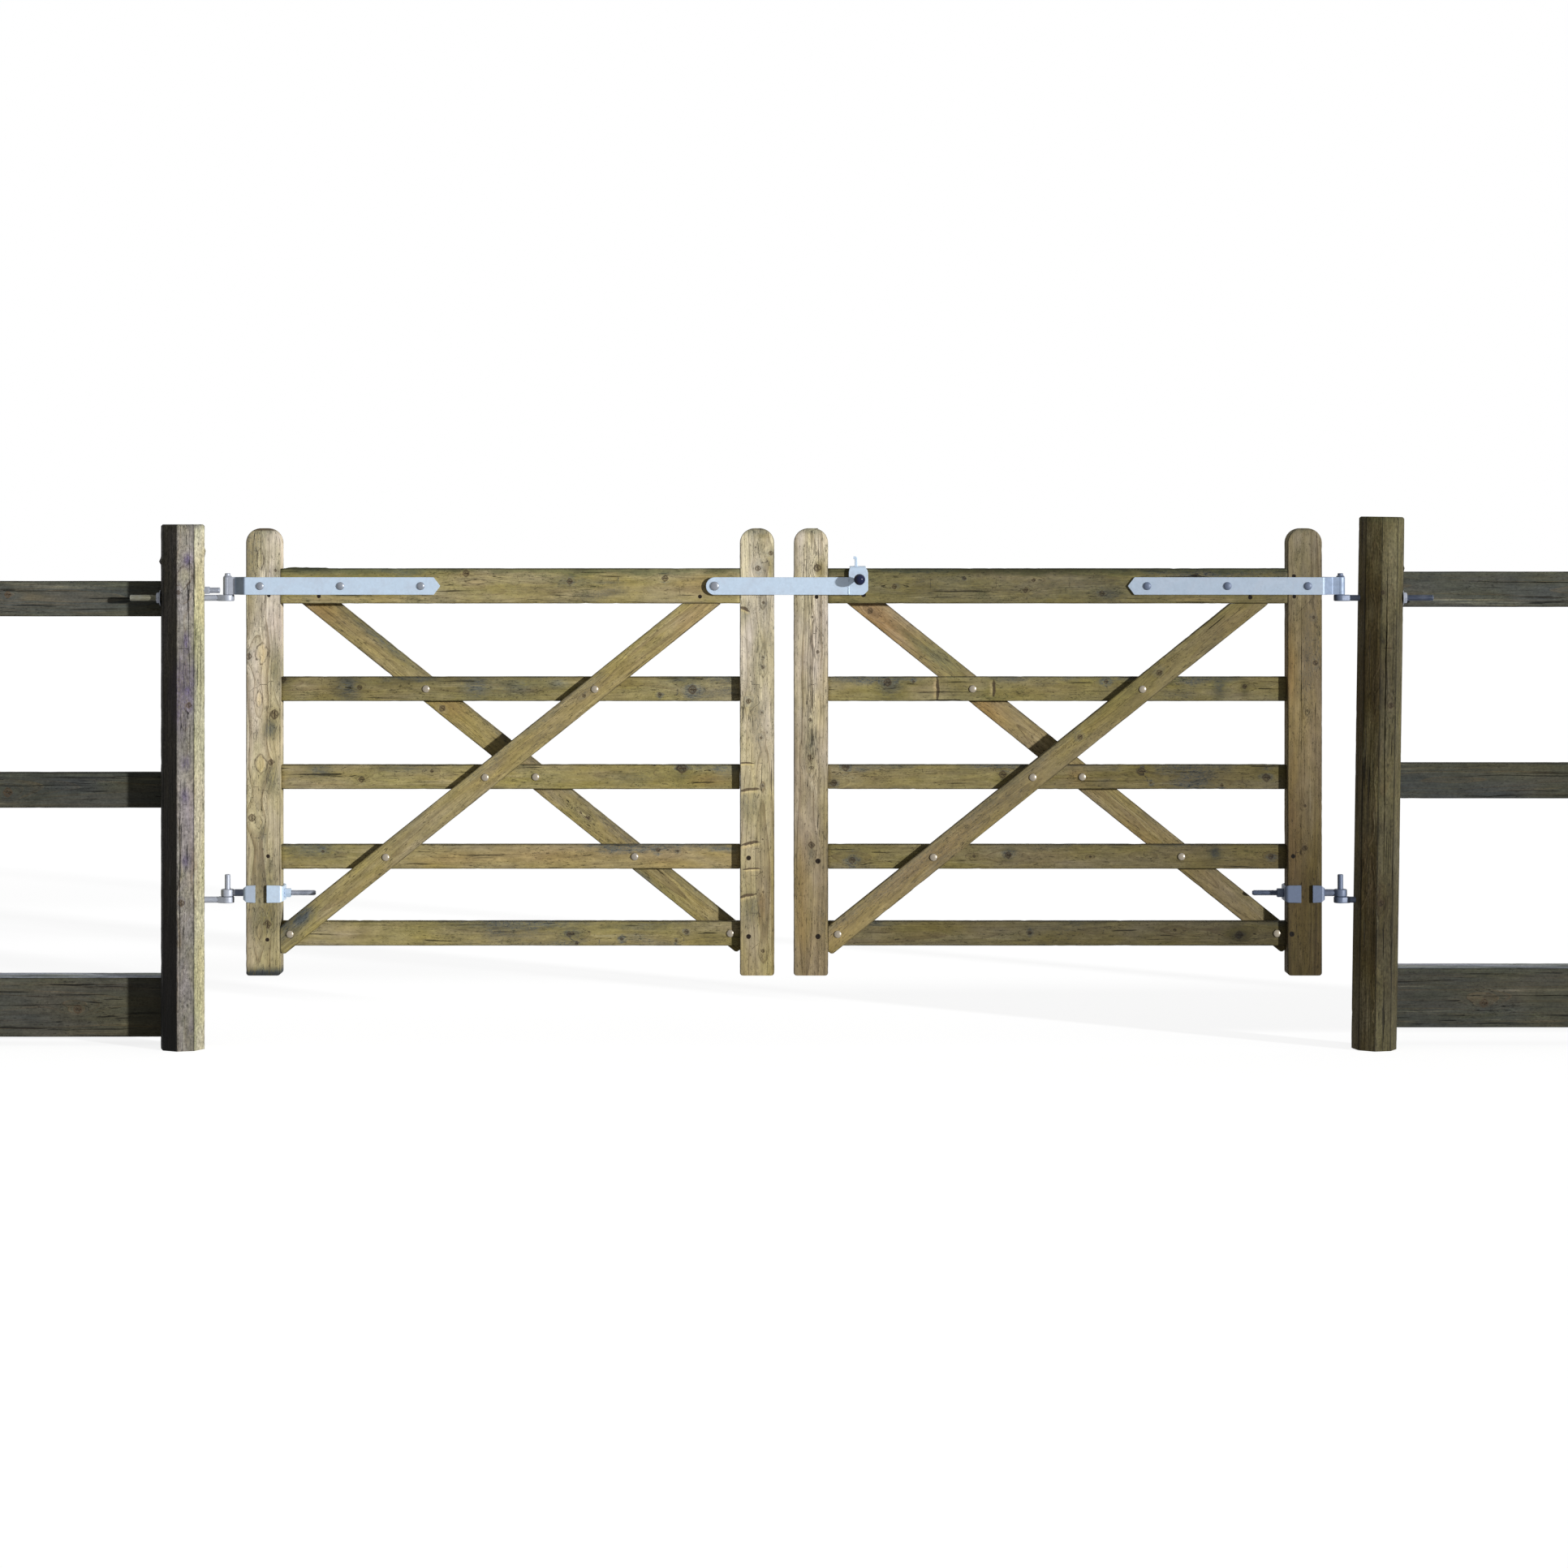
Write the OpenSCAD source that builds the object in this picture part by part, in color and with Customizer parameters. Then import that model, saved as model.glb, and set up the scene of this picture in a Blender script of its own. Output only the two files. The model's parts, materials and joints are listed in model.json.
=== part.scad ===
// Pair of timber paddock gate leaves on octagonal posts, with the first bay of fence each side.
// Millimetres, +Z up, +X along the gate, front towards -Y, origin at the foot of the left post.

/* [Leaves] */
// Width of each leaf over its stiles
leaf_w = 1500; // [1200:10:2100]
// Height of the stiles
leaf_h = 1270; // [1200:5:1400]
// Gap between the ground and the foot of the stiles
ground_gap = 212; // [120:2:300]
// Gap between the two shutting stiles
leaf_gap = 55; // [30:1:90]
// Width of a stile's face
stile_w = 98; // [86:1:120]
// Thickness of the stiles and top rails
timber_t = 70; // [62:1:90]
// Radius of a stile's rounded top corners
stile_round = 42; // [10:1:43]
// Radius of a stile's eased bottom corners
stile_ease = 8; // [2:1:20]

/* [Rails] */
// Height of a top rail's face
top_rail_h = 100; // [80:1:120]
// Drop from the top of a stile to the top rail
top_rail_drop = 114; // [60:1:130]
// Bevel along the upper edges of a top rail
arris = 6; // [2:1:12]
// Height of a lower rail's face
rail_h = 70; // [50:1:90]
// Thickness of a lower rail
rail_t = 30; // [20:1:40]
// Drop from the underside of the top rail to the second rail's centre
second_rail_drop = 243; // [180:1:260]
// Drop from the crossing of the braces to the third rail's centre
third_rail_drop = 57; // [50:1:90]
// Height of the fourth rail's centre above the foot of the stiles
fourth_rail_z = 336; // [320:1:370]
// Height of the bottom rail's centre above the foot of the stiles
bottom_rail_z = 117.5; // [90:0.5:140]

/* [Braces] */
// Width of a brace
brace_w = 70; // [50:1:90]
// Thickness of a brace
brace_t = 20; // [14:1:25]
// Distance of a brace's centre line from the stile, at the bottom rail
brace_foot_in = 27; // [10:1:80]
// Distance of a brace's centre line from the stile, under the top rail
brace_head_in = 109; // [80:1:200]
// Reach of a brace's foot below the bottom rail
brace_foot_drop = 20; // [5:1:30]

/* [Posts] */
// Width of a post across its flats
post_w = 119; // [110:1:150]
// Bevel round the top of a post
post_bevel = 5; // [2:1:12]
// Height of the left gate post above the stiles
left_post_rise = 11; // [0:1:80]
// Height of the right gate post above the stiles
right_post_rise = 32; // [0:1:80]
// Turn of the left gate post about its own length, in degrees
left_post_turn = 16; // [0:1:22]
// Turn of the right gate post about its own length, in degrees
right_post_turn = 15; // [0:1:22]
// Lean of the right gate post away from the gate, in degrees
right_post_lean = 0.85; // [0:0.05:1.5]

/* [Hinge hooks] */
// Distance of the left hinge pins from the foot of the left post
left_pin_reach = 128; // [118:1:150]
// Distance of the right hinge pins from the foot of the right post
right_pin_reach = 95.5; // [94:0.5:120]
// Distance from a hinge pin to the edge of its hanging stile
eye_reach = 57; // [44:1:60]
// Diameter of a hinge pin
pin_d = 16; // [12:1:19]
// Diameter of a hook's round arm
arm_d = 18; // [14:1:24]
// Diameter of the forged nose that carries a pin
nose_d = 38; // [34:1:44]
// Thickness of the forged nose
nose_t = 18; // [12:1:24]
// Length of the nose from the pin towards the post
nose_l = 27; // [24:1:34]
// Bevel round the top of a pin
pin_bevel = 1.5; // [0.5:0.5:3]
// Height of a top pin above its eye
pin_stand = 11; // [5:1:20]
// Height of a bottom pin above its eye
bottom_pin_stand = 42; // [10:1:60]
// Length of a top hook's threaded tail past the post
hook_tail = 90; // [50:1:120]
// Depth that a bottom hook is driven into its post
driven_depth = 85; // [50:1:100]
// Width across the flats of a hook nut
hook_nut_af = 30; // [27:1:36]
// Thickness of a hook nut
hook_nut_t = 15; // [10:1:20]
// Diameter of a hook washer
hook_washer_d = 44; // [38:1:50]
// Thickness of a hook washer
hook_washer_t = 4; // [2:0.5:6]
// Depth of the washer seats cut into the posts
washer_seat = 4.5; // [1:0.5:8]

/* [Top bands] */
// Height of a band's straps
strap_h = 50; // [40:1:60]
// Thickness of a band's straps
strap_t = 6; // [4:0.5:8]
// Length of the straps along the leaf
strap_l = 551; // [400:1:700]
// Length of the pointed end of a strap
strap_point = 20; // [8:1:30]
// Outside diameter of a band's eye
band_eye_d = 26; // [24:1:34]
// Distance from the stile's edge to the first band bolt
band_bolt_in = 41; // [25:1:60]
// Distance from the last band bolt to the tip of the strap
band_tip_in = 54; // [40:1:80]
// Distance from the stile's edge to where a strap has come in to its eye
crank_in = 33; // [20:1:36]
// Diameter of a band bolt
band_bolt_d = 12; // [8:1:14]
// Diameter of a band bolt's domed head
band_head_d = 24; // [18:1:30]

/* [Bottom eyes] */
// Height of a bottom eye bolt's centre above the foot of the stiles
bottom_eye_z = 232; // [210:1:250]
// Outside diameter of a bottom eye
ring_d = 38; // [32:1:44]
// Height of a bottom eye
ring_h = 21; // [16:1:30]
// Diameter of the plain neck between an eye and its stile
neck_d = 20; // [17:1:28]
// Diameter of a bottom eye's threaded shank
shank_d = 16; // [12:1:18]
// Length of the shank past the stile
shank_tail = 96; // [60:1:120]
// Height of the stirrups that clamp the stile
stirrup_h = 50; // [40:1:60]
// Thickness of the stirrups
stirrup_t = 8; // [5:0.5:10]
// Height of the outer stirrup's waist, where it meets the neck
outer_waist = 24; // [20:1:40]
// Height of the inner stirrup's waist, where it meets the nut
inner_waist = 38; // [32:1:50]
// Distance along the flaps over which a stirrup grows to its full height
flare = 4; // [1:1:10]
// Length of the outer stirrup's flaps
outer_flap = 27; // [20:1:34]
// Length of the inner stirrup's flaps
inner_flap = 38; // [30:1:44]
// Width across the flats of the shank's nut
shank_nut_af = 24; // [22:1:30]
// Thickness of the shank's nut
shank_nut_t = 18; // [10:1:24]

/* [Brace bolts] */
// Diameter of a brace bolt
brace_bolt_d = 10; // [6:1:12]
// Diameter of a brace bolt's domed head
brace_head_d = 22; // [14:1:28]

/* [Latch] */
// Distance of the latch's pivot from the left shutting stile
latch_pivot_in = 71; // [40:1:120]
// Height of the latch strap
latch_h = 50; // [40:1:56]
// Thickness of the latch strap
latch_t = 6; // [4:0.5:8]
// Reach of the strap past the right shutting stile
latch_overlap = 58; // [20:1:120]
// Gap between the strap and the timber behind it
latch_proud = 5; // [5:0.5:10]
// Width of the tongue welded to the strap
tongue_w = 55; // [40:1:80]
// Depth of the tongue over the right top rail
tongue_d = 70; // [40:1:80]
// Size of the cut corner at the foot of the tongue
tongue_cut = 14; // [4:1:20]
// Inner radius of the tongue's bend
tongue_bend = 4; // [1:0.5:4.5]
// Distance of the lug from the strap's end of the tongue
lug_in = 17; // [5:1:20]
// Width of the lug on the tongue
lug_w = 8; // [5:1:12]
// Height of the lug on the tongue
lug_h = 27; // [15:1:40]
// Reach of the lug's bent head
lug_head = 4; // [1:1:5]
// Diameter of the ball knob
knob_d = 32; // [24:1:40]
// Distance of the ball's centre from the strap's end of the tongue
knob_in = 30; // [20:1:35]
// Distance of the ball's centre in front of the strap
knob_out = 34; // [20:1:40]
// Diameter of the knob's stem
stem_d = 10; // [6:1:14]
// Height of the ball's centre above the latch's pivot
knob_up = 19; // [0:1:25]

/* [Fence] */
// Length of a fence bay, from post centre to post centre
fence_bay = 1800; // [1200:50:2700]
// Height of a fence rail's face
fence_rail_h = 101; // [75:1:125]
// Thickness of a fence rail
fence_rail_t = 45; // [30:1:60]
// Height of the upper fence rail's centre above the ground
fence_top_z = 1280; // [1150:1:1320]
// Height of the middle fence rail's centre above the ground
fence_mid_z = 732; // [600:1:800]
// Gap between the ground and the kick board
kick_gap = 26; // [0:1:80]
// Height of the kick board
kick_h = 170; // [120:1:220]
// Thickness of the kick board
kick_t = 115; // [40:1:125]
// Rise of the right bay of fence above the left one
right_fence_rise = 27; // [0:1:40]
// Depth of the housings that seat the rails in the back of the posts
housing = 8; // [3:1:15]

/* [Fits] */
// Play between a hinge pin or pivot and its eye, across the diameter
running_play = 0.2; // [0.1:0.02:0.2]
// Play between a bolt and the hole through its timber, across the diameter
bolt_play = 0.6; // [0.2:0.1:1]
// Play between a driven hook and its hole, across the diameter
driven_play = 0.1; // [0.04:0.02:0.2]
// Gap between a moving piece and what it rests on
rest_gap = 0.3; // [0.2:0.05:0.5]
// Gap between the end of a fence rail and its housing
housing_gap = 1; // [0.5:0.5:3]

/* [Hidden] */
$fn = 64;
cut = 200;             // overshoot of a cutting tool that only has to clear the timber
half_t = timber_t / 2;
half_rail = rail_t / 2;

// Stations along a leaf, measured from its hinge pin
stile_x = eye_reach;
inner_x = stile_x + stile_w;
far_inner_x = stile_x + leaf_w - stile_w;
far_x = stile_x + leaf_w;
clear_w = far_inner_x - inner_x;

// Hinge pins and posts along the gate
left_pin_x = left_pin_reach;
right_pin_x = left_pin_x + 2 * far_x + leaf_gap;
right_post_x = right_pin_x + right_pin_reach;
stile_top = ground_gap + leaf_h;
left_post_h = stile_top + left_post_rise;
right_post_h = stile_top + right_post_rise;

// Heights in a leaf, measured from the foot of its stiles
top_rail_z = leaf_h - top_rail_drop - top_rail_h;
band_z = top_rail_z + (top_rail_h - strap_h) / 2;
band_bolt_pitch = (strap_l - band_bolt_in - band_tip_in) / 2;
ring_z = bottom_eye_z - ring_h / 2;
top_nose_z = band_z - rest_gap - nose_t;
bottom_nose_z = bottom_eye_z - max(ring_h, neck_d) / 2 - rest_gap - nose_t;
arm_up = nose_t - max(nose_t, arm_d) / 2;   // an arm never stands above its nose
top_arm_z = ground_gap + top_nose_z + arm_up;
bottom_arm_z = ground_gap + bottom_nose_z + arm_up;

// Centre line of a rising brace
brace_foot_x = inner_x + brace_foot_in;
brace_head_x = far_inner_x - brace_head_in;
brace_run = brace_head_x - brace_foot_x;
brace_climb = top_rail_z - bottom_rail_z;
brace_angle = atan2(brace_climb, brace_run);
crossing_z = bottom_rail_z + (leaf_w / 2 - stile_w - brace_foot_in) * brace_climb / brace_run;
second_rail_z = top_rail_z - second_rail_drop;
third_rail_z = crossing_z - third_rail_drop;
lower_rails = [second_rail_z, third_rail_z, fourth_rail_z, bottom_rail_z];

// Latch, measured in the left leaf
latch_x = far_inner_x - latch_pivot_in;
latch_z = band_z + strap_h / 2;
latch_reach = latch_pivot_in + 2 * stile_w + leaf_gap + latch_overlap;
latch_y = -half_t - latch_proud - latch_t;
tongue_up = top_rail_z + top_rail_h + rest_gap - latch_z;

// Bolts
dome = 0.25;           // height of a domed head as a share of its diameter
nut_ratio = 1.7;       // width of a bolt's nut across its flats, as a share of the bolt
nut_depth = 0.8;       // thickness of a bolt's nut, as a share of the bolt
bolt_end = 4;          // length of thread past a nut
shank_bevel = 5;       // length of the bevelled end of a bottom eye's shank

GALVANISED = [0.66, 0.71, 0.76];
STILE = [0.72, 0.67, 0.54];
RAIL = [0.44, 0.42, 0.27];
TOP_RAIL = [0.40, 0.41, 0.25];
BRACE = [0.47, 0.42, 0.28];
LEFT_POST = [0.55, 0.51, 0.43];
RIGHT_POST = [0.33, 0.28, 0.20];
FENCE = [0.29, 0.28, 0.21];
KNOB = [0.05, 0.06, 0.10];

// ---------- frames and lines ----------

// Puts a left leaf's own frame in place: origin on the pin, level with the foot of the stiles
module left_leaf() { translate([left_pin_x, 0, ground_gap]) children(); }

// The same frame for the right leaf, which hangs from the other side
module right_leaf() { translate([right_pin_x, 0, ground_gap]) mirror([1, 0, 0]) children(); }

// Distance along the gate of a post's centre at a height above the ground
function right_post_at(z) = right_post_x + z * tan(right_post_lean);

// Where a brace's centre line stands at a height in the leaf
function rising_x(z) = brace_foot_x + (z - bottom_rail_z) * brace_run / brace_climb;
function brace_x(z, rising) = rising ? rising_x(z) : inner_x + far_inner_x - rising_x(z);

// ---------- fasteners ----------

// Cylinder lying along X, from x0 to x1
module rod_x(d, x0, x1) {
    translate([x0, 0, 0]) rotate([0, 90, 0]) cylinder(d = d, h = x1 - x0);
}

// Cylinder lying along Y, from y0 to y1
module rod_y(d, y0, y1) {
    translate([0, y0, 0]) rotate([-90, 0, 0]) cylinder(d = d, h = y1 - y0);
}

// Hexagon nut standing on z = 0 with a hole for its thread
module nut(af, thick, hole_d) {
    difference() {
        cylinder(d = af / cos(30), h = thick, $fn = 6);
        translate([0, 0, -1]) cylinder(d = hole_d, h = thick + 2);
    }
}

// Domed head standing on z = 0: the cap of a sphere
module domed_head(d) {
    rise = d * dome;
    sphere_r = (d * d / 4 + rise * rise) / (2 * rise);
    intersection() {
        translate([0, 0, rise - sphere_r]) sphere(r = sphere_r);
        cylinder(d = d + 1, h = rise + 1);
    }
}

// Coach bolt along Y: its head bears at y0, its nut at y1
module coach_bolt(d, head_d, y0, y1) {
    nut_t = d * nut_depth;
    translate([0, y0, 0]) rotate([90, 0, 0]) domed_head(head_d);
    rod_y(d, y0 - head_d * dome / 2, y1 + nut_t + bolt_end);
    translate([0, y1, 0]) rotate([-90, 0, 0]) cylinder(d = d * nut_ratio / cos(30), h = nut_t, $fn = 6);
}

// ---------- leaf timber ----------

// Face of a stile, with its foot on the X axis: round shoulders and eased feet
module stile_face() {
    shoulder = stile_w / 2 - stile_round;
    foot = stile_w / 2 - stile_ease;
    translate([-stile_w / 2, stile_ease]) square([stile_w, leaf_h - stile_round - stile_ease]);
    translate([-shoulder, leaf_h / 2]) square([2 * shoulder, leaf_h / 2]);
    translate([-foot, 0]) square([2 * foot, leaf_h / 2]);
    for (side = [-1, 1]) {
        translate([side * shoulder, leaf_h - stile_round]) circle(r = stile_round);
        translate([side * foot, stile_ease]) circle(r = stile_ease);
    }
}

// Stile whose outer edge is at x0
module stile(x0) {
    translate([x0 + stile_w / 2, half_t, 0]) rotate([90, 0, 0]) linear_extrude(timber_t) stile_face();
}

// Holes for the band bolts, through whatever timber or strap they meet
module band_bolt_holes() {
    for (i = [0:2])
        translate([stile_x + band_bolt_in + i * band_bolt_pitch, 0, band_z + strap_h / 2])
            rod_y(band_bolt_d + bolt_play, -cut, cut);
}

module hanging_stile() {
    color(STILE) difference() {
        stile(stile_x);
        band_bolt_holes();
        translate([0, 0, bottom_eye_z]) rod_x(shank_d + bolt_play, 0, inner_x + cut);
    }
}

module shutting_stile() {
    color(STILE) stile(far_inner_x);
}

// Section of a top rail: its upper edges are bevelled
module top_rail_section() {
    polygon([
        [-half_t, 0], [half_t, 0], [half_t, top_rail_h - arris], [half_t - arris, top_rail_h],
        [arris - half_t, top_rail_h], [-half_t, top_rail_h - arris],
    ]);
}

module top_rail() {
    color(TOP_RAIL) difference() {
        translate([inner_x, 0, top_rail_z]) rotate([90, 0, 90]) linear_extrude(clear_w) top_rail_section();
        band_bolt_holes();
    }
}

// Lower rail centred on a height, with a hole where each brace crosses it
module lower_rail(z) {
    color(RAIL) difference() {
        translate([inner_x, -half_rail, z - rail_h / 2]) cube([clear_w, rail_t, rail_h]);
        for (rising = [true, false])
            translate([brace_x(z, rising), 0, z]) rod_y(brace_bolt_d + bolt_play, -cut, cut);
    }
}

// Face of a rising brace: a slanting board cut plumb against the stile and level under the top rail
module brace_face() {
    low = bottom_rail_z - rail_h / 2 - brace_foot_drop;
    intersection() {
        translate([brace_foot_x, bottom_rail_z]) rotate(brace_angle)
            translate([-cut, -brace_w / 2]) square([brace_run / cos(brace_angle) + 2 * cut, brace_w]);
        translate([inner_x, low]) square([clear_w, top_rail_z - low]);
    }
}

// Brace on the front (face = -1) or the back (face = 1) of the lower rails
module brace(face, rising) {
    middle_x = (inner_x + far_inner_x) / 2;
    color(BRACE) difference() {
        translate([0, face * (half_rail + brace_t / 2) + brace_t / 2, 0]) rotate([90, 0, 0])
            linear_extrude(brace_t)
                translate([middle_x, 0]) mirror([rising ? 0 : 1, 0]) translate([-middle_x, 0]) brace_face();
        for (z = lower_rails) translate([brace_x(z, rising), 0, z])
            rod_y(brace_bolt_d + bolt_play, -cut, cut);
    }
}

// Bolts through the lower rails and one brace each
module brace_bolts(front_rising) {
    color(GALVANISED) for (z = lower_rails) {
        translate([brace_x(z, front_rising), 0, z])
            coach_bolt(brace_bolt_d, brace_head_d, -half_rail - brace_t, half_rail);
        translate([brace_x(z, !front_rising), 0, z])
            coach_bolt(brace_bolt_d, brace_head_d, -half_rail, half_rail + brace_t);
    }
}

// ---------- hinges on the leaf ----------

// Side view of a strap with its pointed end, from the stile's edge
module strap_face() {
    mid = strap_h / 2;
    polygon([
        [0, 0], [strap_l - strap_point, 0], [strap_l, mid - strap_point / 4],
        [strap_l, mid + strap_point / 4], [strap_l - strap_point, strap_h], [0, strap_h],
    ]);
}

// Plan of the crank that brings one strap in to the eye
module crank_plan() {
    outer = half_t + strap_t;
    eye_r = band_eye_d / 2;
    foot = stile_x - crank_in;
    polygon([
        [0, eye_r - strap_t], [0, eye_r], [foot, eye_r], [stile_x - strap_t, outer],
        [stile_x + strap_t, outer], [stile_x + strap_t, half_t], [stile_x - 1, half_t],
        [foot + strap_t / 2, eye_r - strap_t],
    ]);
}

module top_band() {
    color(GALVANISED) difference() {
        union() {
            translate([0, 0, band_z]) cylinder(d = band_eye_d, h = strap_h);
            for (face = [0, 1]) mirror([0, face, 0]) {
                translate([0, 0, band_z]) linear_extrude(strap_h) crank_plan();
                translate([stile_x, half_t + strap_t, band_z]) rotate([90, 0, 0])
                    linear_extrude(strap_t) strap_face();
            }
        }
        translate([0, 0, band_z - 1]) cylinder(d = pin_d + running_play, h = strap_h + 2);
        band_bolt_holes();
    }
}

module band_bolts() {
    color(GALVANISED) for (i = [0:2])
        translate([stile_x + band_bolt_in + i * band_bolt_pitch, 0, band_z + strap_h / 2])
            coach_bolt(band_bolt_d, band_head_d, -half_t - strap_t, half_t + strap_t);
}

module bottom_eye() {
    shank_end = inner_x + shank_tail;
    color(GALVANISED) difference() {
        union() {
            translate([0, 0, ring_z]) cylinder(d = ring_d, h = ring_h);
            translate([0, 0, bottom_eye_z]) {
                rod_x(neck_d, pin_d / 2, stile_x - stirrup_t);
                rod_x(shank_d, pin_d / 2, shank_end - shank_bevel);
                translate([shank_end - shank_bevel, 0, 0]) rotate([0, 90, 0])
                    cylinder(d1 = shank_d, d2 = shank_d - shank_bevel, h = shank_bevel);
            }
        }
        translate([0, 0, ring_z - 1]) cylinder(d = pin_d + running_play, h = ring_h + 2);
    }
}

// Plan of a stirrup that hugs one edge of the stile, drawn with that edge on x = 0
module stirrup_plan(flap) {
    outer = half_t + stirrup_t;
    difference() {
        translate([-stirrup_t, -outer]) square([stirrup_t + flap, 2 * outer]);
        translate([0, -half_t]) square([flap + 1, timber_t]);
    }
}

// Side view of a stirrup: its web is waisted and flares out to the flaps
module stirrup_side(flap, waist) {
    tall = stirrup_h / 2;
    polygon([
        [-stirrup_t, -waist / 2], [flare, -tall], [flap, -tall],
        [flap, tall], [flare, tall], [-stirrup_t, waist / 2],
    ]);
}

module stirrup(flap, waist) {
    translate([0, 0, bottom_eye_z]) difference() {
        intersection() {
            translate([0, 0, -stirrup_h / 2]) linear_extrude(stirrup_h) stirrup_plan(flap);
            translate([0, timber_t, 0]) rotate([90, 0, 0])
                linear_extrude(2 * timber_t) stirrup_side(flap, waist);
        }
        rod_x(shank_d + bolt_play, -cut, cut);
    }
}

// Both stirrups and the nut that draws them together
module stirrups() {
    color(GALVANISED) {
        translate([stile_x, 0, 0]) stirrup(outer_flap, outer_waist);
        translate([inner_x, 0, 0]) mirror([1, 0, 0]) stirrup(inner_flap, inner_waist);
        translate([inner_x + stirrup_t, 0, bottom_eye_z]) rotate([0, 90, 0])
            nut(shank_nut_af, shank_nut_t, shank_d + bolt_play);
    }
}

// ---------- hooks on the posts ----------

// Nose and pin of a hook, with the nose's underside on z = 0 and the post towards -X
module hook_head(pin_top) {
    cylinder(d = nose_d, h = nose_t);
    linear_extrude(nose_t) polygon([
        [0, nose_d / 2], [-nose_l, arm_d / 2], [-nose_l, -arm_d / 2], [0, -nose_d / 2],
    ]);
    cylinder(d = pin_d, h = pin_top - pin_bevel);
    translate([0, 0, pin_top - pin_bevel]) cylinder(d1 = pin_d, d2 = pin_d - 2 * pin_bevel, h = pin_bevel);
}

module top_hook(arm_l) {
    color(GALVANISED) translate([0, 0, top_nose_z]) {
        hook_head(nose_t + rest_gap + strap_h + pin_stand);
        translate([0, 0, arm_up]) rod_x(arm_d, -arm_l, -nose_l / 2);
    }
}

module bottom_hook(arm_l) {
    color(GALVANISED) translate([0, 0, bottom_nose_z]) {
        hook_head(nose_t + rest_gap + ring_h + bottom_pin_stand);
        translate([0, 0, arm_up]) rod_x(arm_d, -arm_l, -nose_l / 2);
    }
}

// Washer and nut seated in a post, drawn on z = 0 and pointing along +Z
module hook_nut() {
    difference() {
        cylinder(d = hook_washer_d, h = hook_washer_t);
        translate([0, 0, -1]) cylinder(d = arm_d + bolt_play, h = hook_washer_t + 2);
    }
    translate([0, 0, hook_washer_t]) nut(hook_nut_af, hook_nut_t, arm_d + bolt_play);
}

module left_hook_nuts() {
    seat = post_w / 2 - washer_seat;
    color(GALVANISED) translate([0, 0, top_arm_z]) {
        translate([-seat, 0, 0]) rotate([0, -90, 0]) hook_nut();
        translate([seat, 0, 0]) rotate([0, 90, 0]) hook_nut();
    }
}

module right_hook_nuts() {
    color(GALVANISED) translate([right_post_at(top_arm_z) + post_w / 2 - washer_seat, 0, top_arm_z])
        rotate([0, 90, 0]) hook_nut();
}

// ---------- posts and fence ----------

// Octagonal bar standing on z = -cut, its top bevelled all round
module octagon_bar(height) {
    w = post_w / 2;
    intersection_for (turn = [0, 45, 90, 135])
        rotate([90, 0, turn]) translate([0, 0, -post_w]) linear_extrude(2 * post_w) polygon([
            [-w, -cut], [w, -cut], [w, height - post_bevel], [w - post_bevel, height],
            [post_bevel - w, height], [-w, height - post_bevel],
        ]);
}

// Post cut off at the ground, with housings in its back for the fence on one side of it
module post(height, turn, lean, fence_side, rise) {
    difference() {
        rotate([0, lean, 0]) rotate([0, 0, turn]) octagon_bar(height);
        translate([-post_w, -post_w, -2 * cut]) cube([2 * post_w, 2 * post_w, 2 * cut]);
        for (rail = fence_rails(rise))
            translate([rail_end(rail, lean), post_w / 2 - housing, rail[0]])
                mirror([fence_side < 0 ? 1 : 0, 0, 0]) cube([post_w, post_w, rail[1]]);
    }
}

// Underside, height and thickness of each piece of a fence panel
function fence_rails(rise) = [
    [fence_top_z - fence_rail_h / 2 + rise, fence_rail_h, fence_rail_t],
    [fence_mid_z - fence_rail_h / 2 + rise, fence_rail_h, fence_rail_t],
    [kick_gap + rise, kick_h, kick_t],
];

// Where a fence rail ends on a leaning post
function rail_end(rail, lean) = (rail[0] + rail[1] / 2) * tan(lean);

module fence_panel(rise, lean) {
    color(FENCE) for (rail = fence_rails(rise)) {
        x0 = rail_end(rail, lean) + housing_gap;
        translate([x0, post_w / 2 - housing, rail[0]])
            cube([fence_bay - housing_gap - x0, rail[2], rail[1]]);
    }
}

module left_post() {
    color(LEFT_POST) difference() {
        post(left_post_h, left_post_turn, 0, -1, 0);
        translate([0, 0, top_arm_z]) {
            rod_x(arm_d + bolt_play, -cut, cut);
            rod_x(hook_washer_d + 1, washer_seat - post_w / 2 - cut, washer_seat - post_w / 2);
            rod_x(hook_washer_d + 1, post_w / 2 - washer_seat, post_w / 2 - washer_seat + cut);
        }
        translate([0, 0, bottom_arm_z])
            rod_x(arm_d + driven_play, post_w / 2 - driven_depth, cut);
    }
}

module right_post() {
    bottom_face = post_w / 2 - (right_post_at(bottom_arm_z) - right_post_x);
    color(RIGHT_POST) translate([right_post_x, 0, 0]) difference() {
        post(right_post_h, right_post_turn, right_post_lean, 1, right_fence_rise);
        translate([right_post_at(top_arm_z) - right_post_x, 0, top_arm_z]) {
            rod_x(arm_d + bolt_play, -cut, cut);
            rod_x(hook_washer_d + 1, post_w / 2 - washer_seat, post_w / 2 - washer_seat + cut);
        }
        translate([0, 0, bottom_arm_z]) rod_x(arm_d + driven_play, -cut, driven_depth - bottom_face);
    }
}

module left_fence_post() {
    color(FENCE) translate([-fence_bay, 0, 0]) post(left_post_h, 0, 0, 1, 0);
}

module right_fence_post() {
    color(FENCE) translate([right_post_x + fence_bay, 0, 0])
        post(right_post_h, 0, 0, -1, right_fence_rise);
}

// ---------- latch ----------

// Strap with one round end, drawn from its pivot along +X
module latch_face() {
    circle(d = latch_h);
    translate([0, -latch_h / 2]) square([latch_reach, latch_h]);
}

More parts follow.
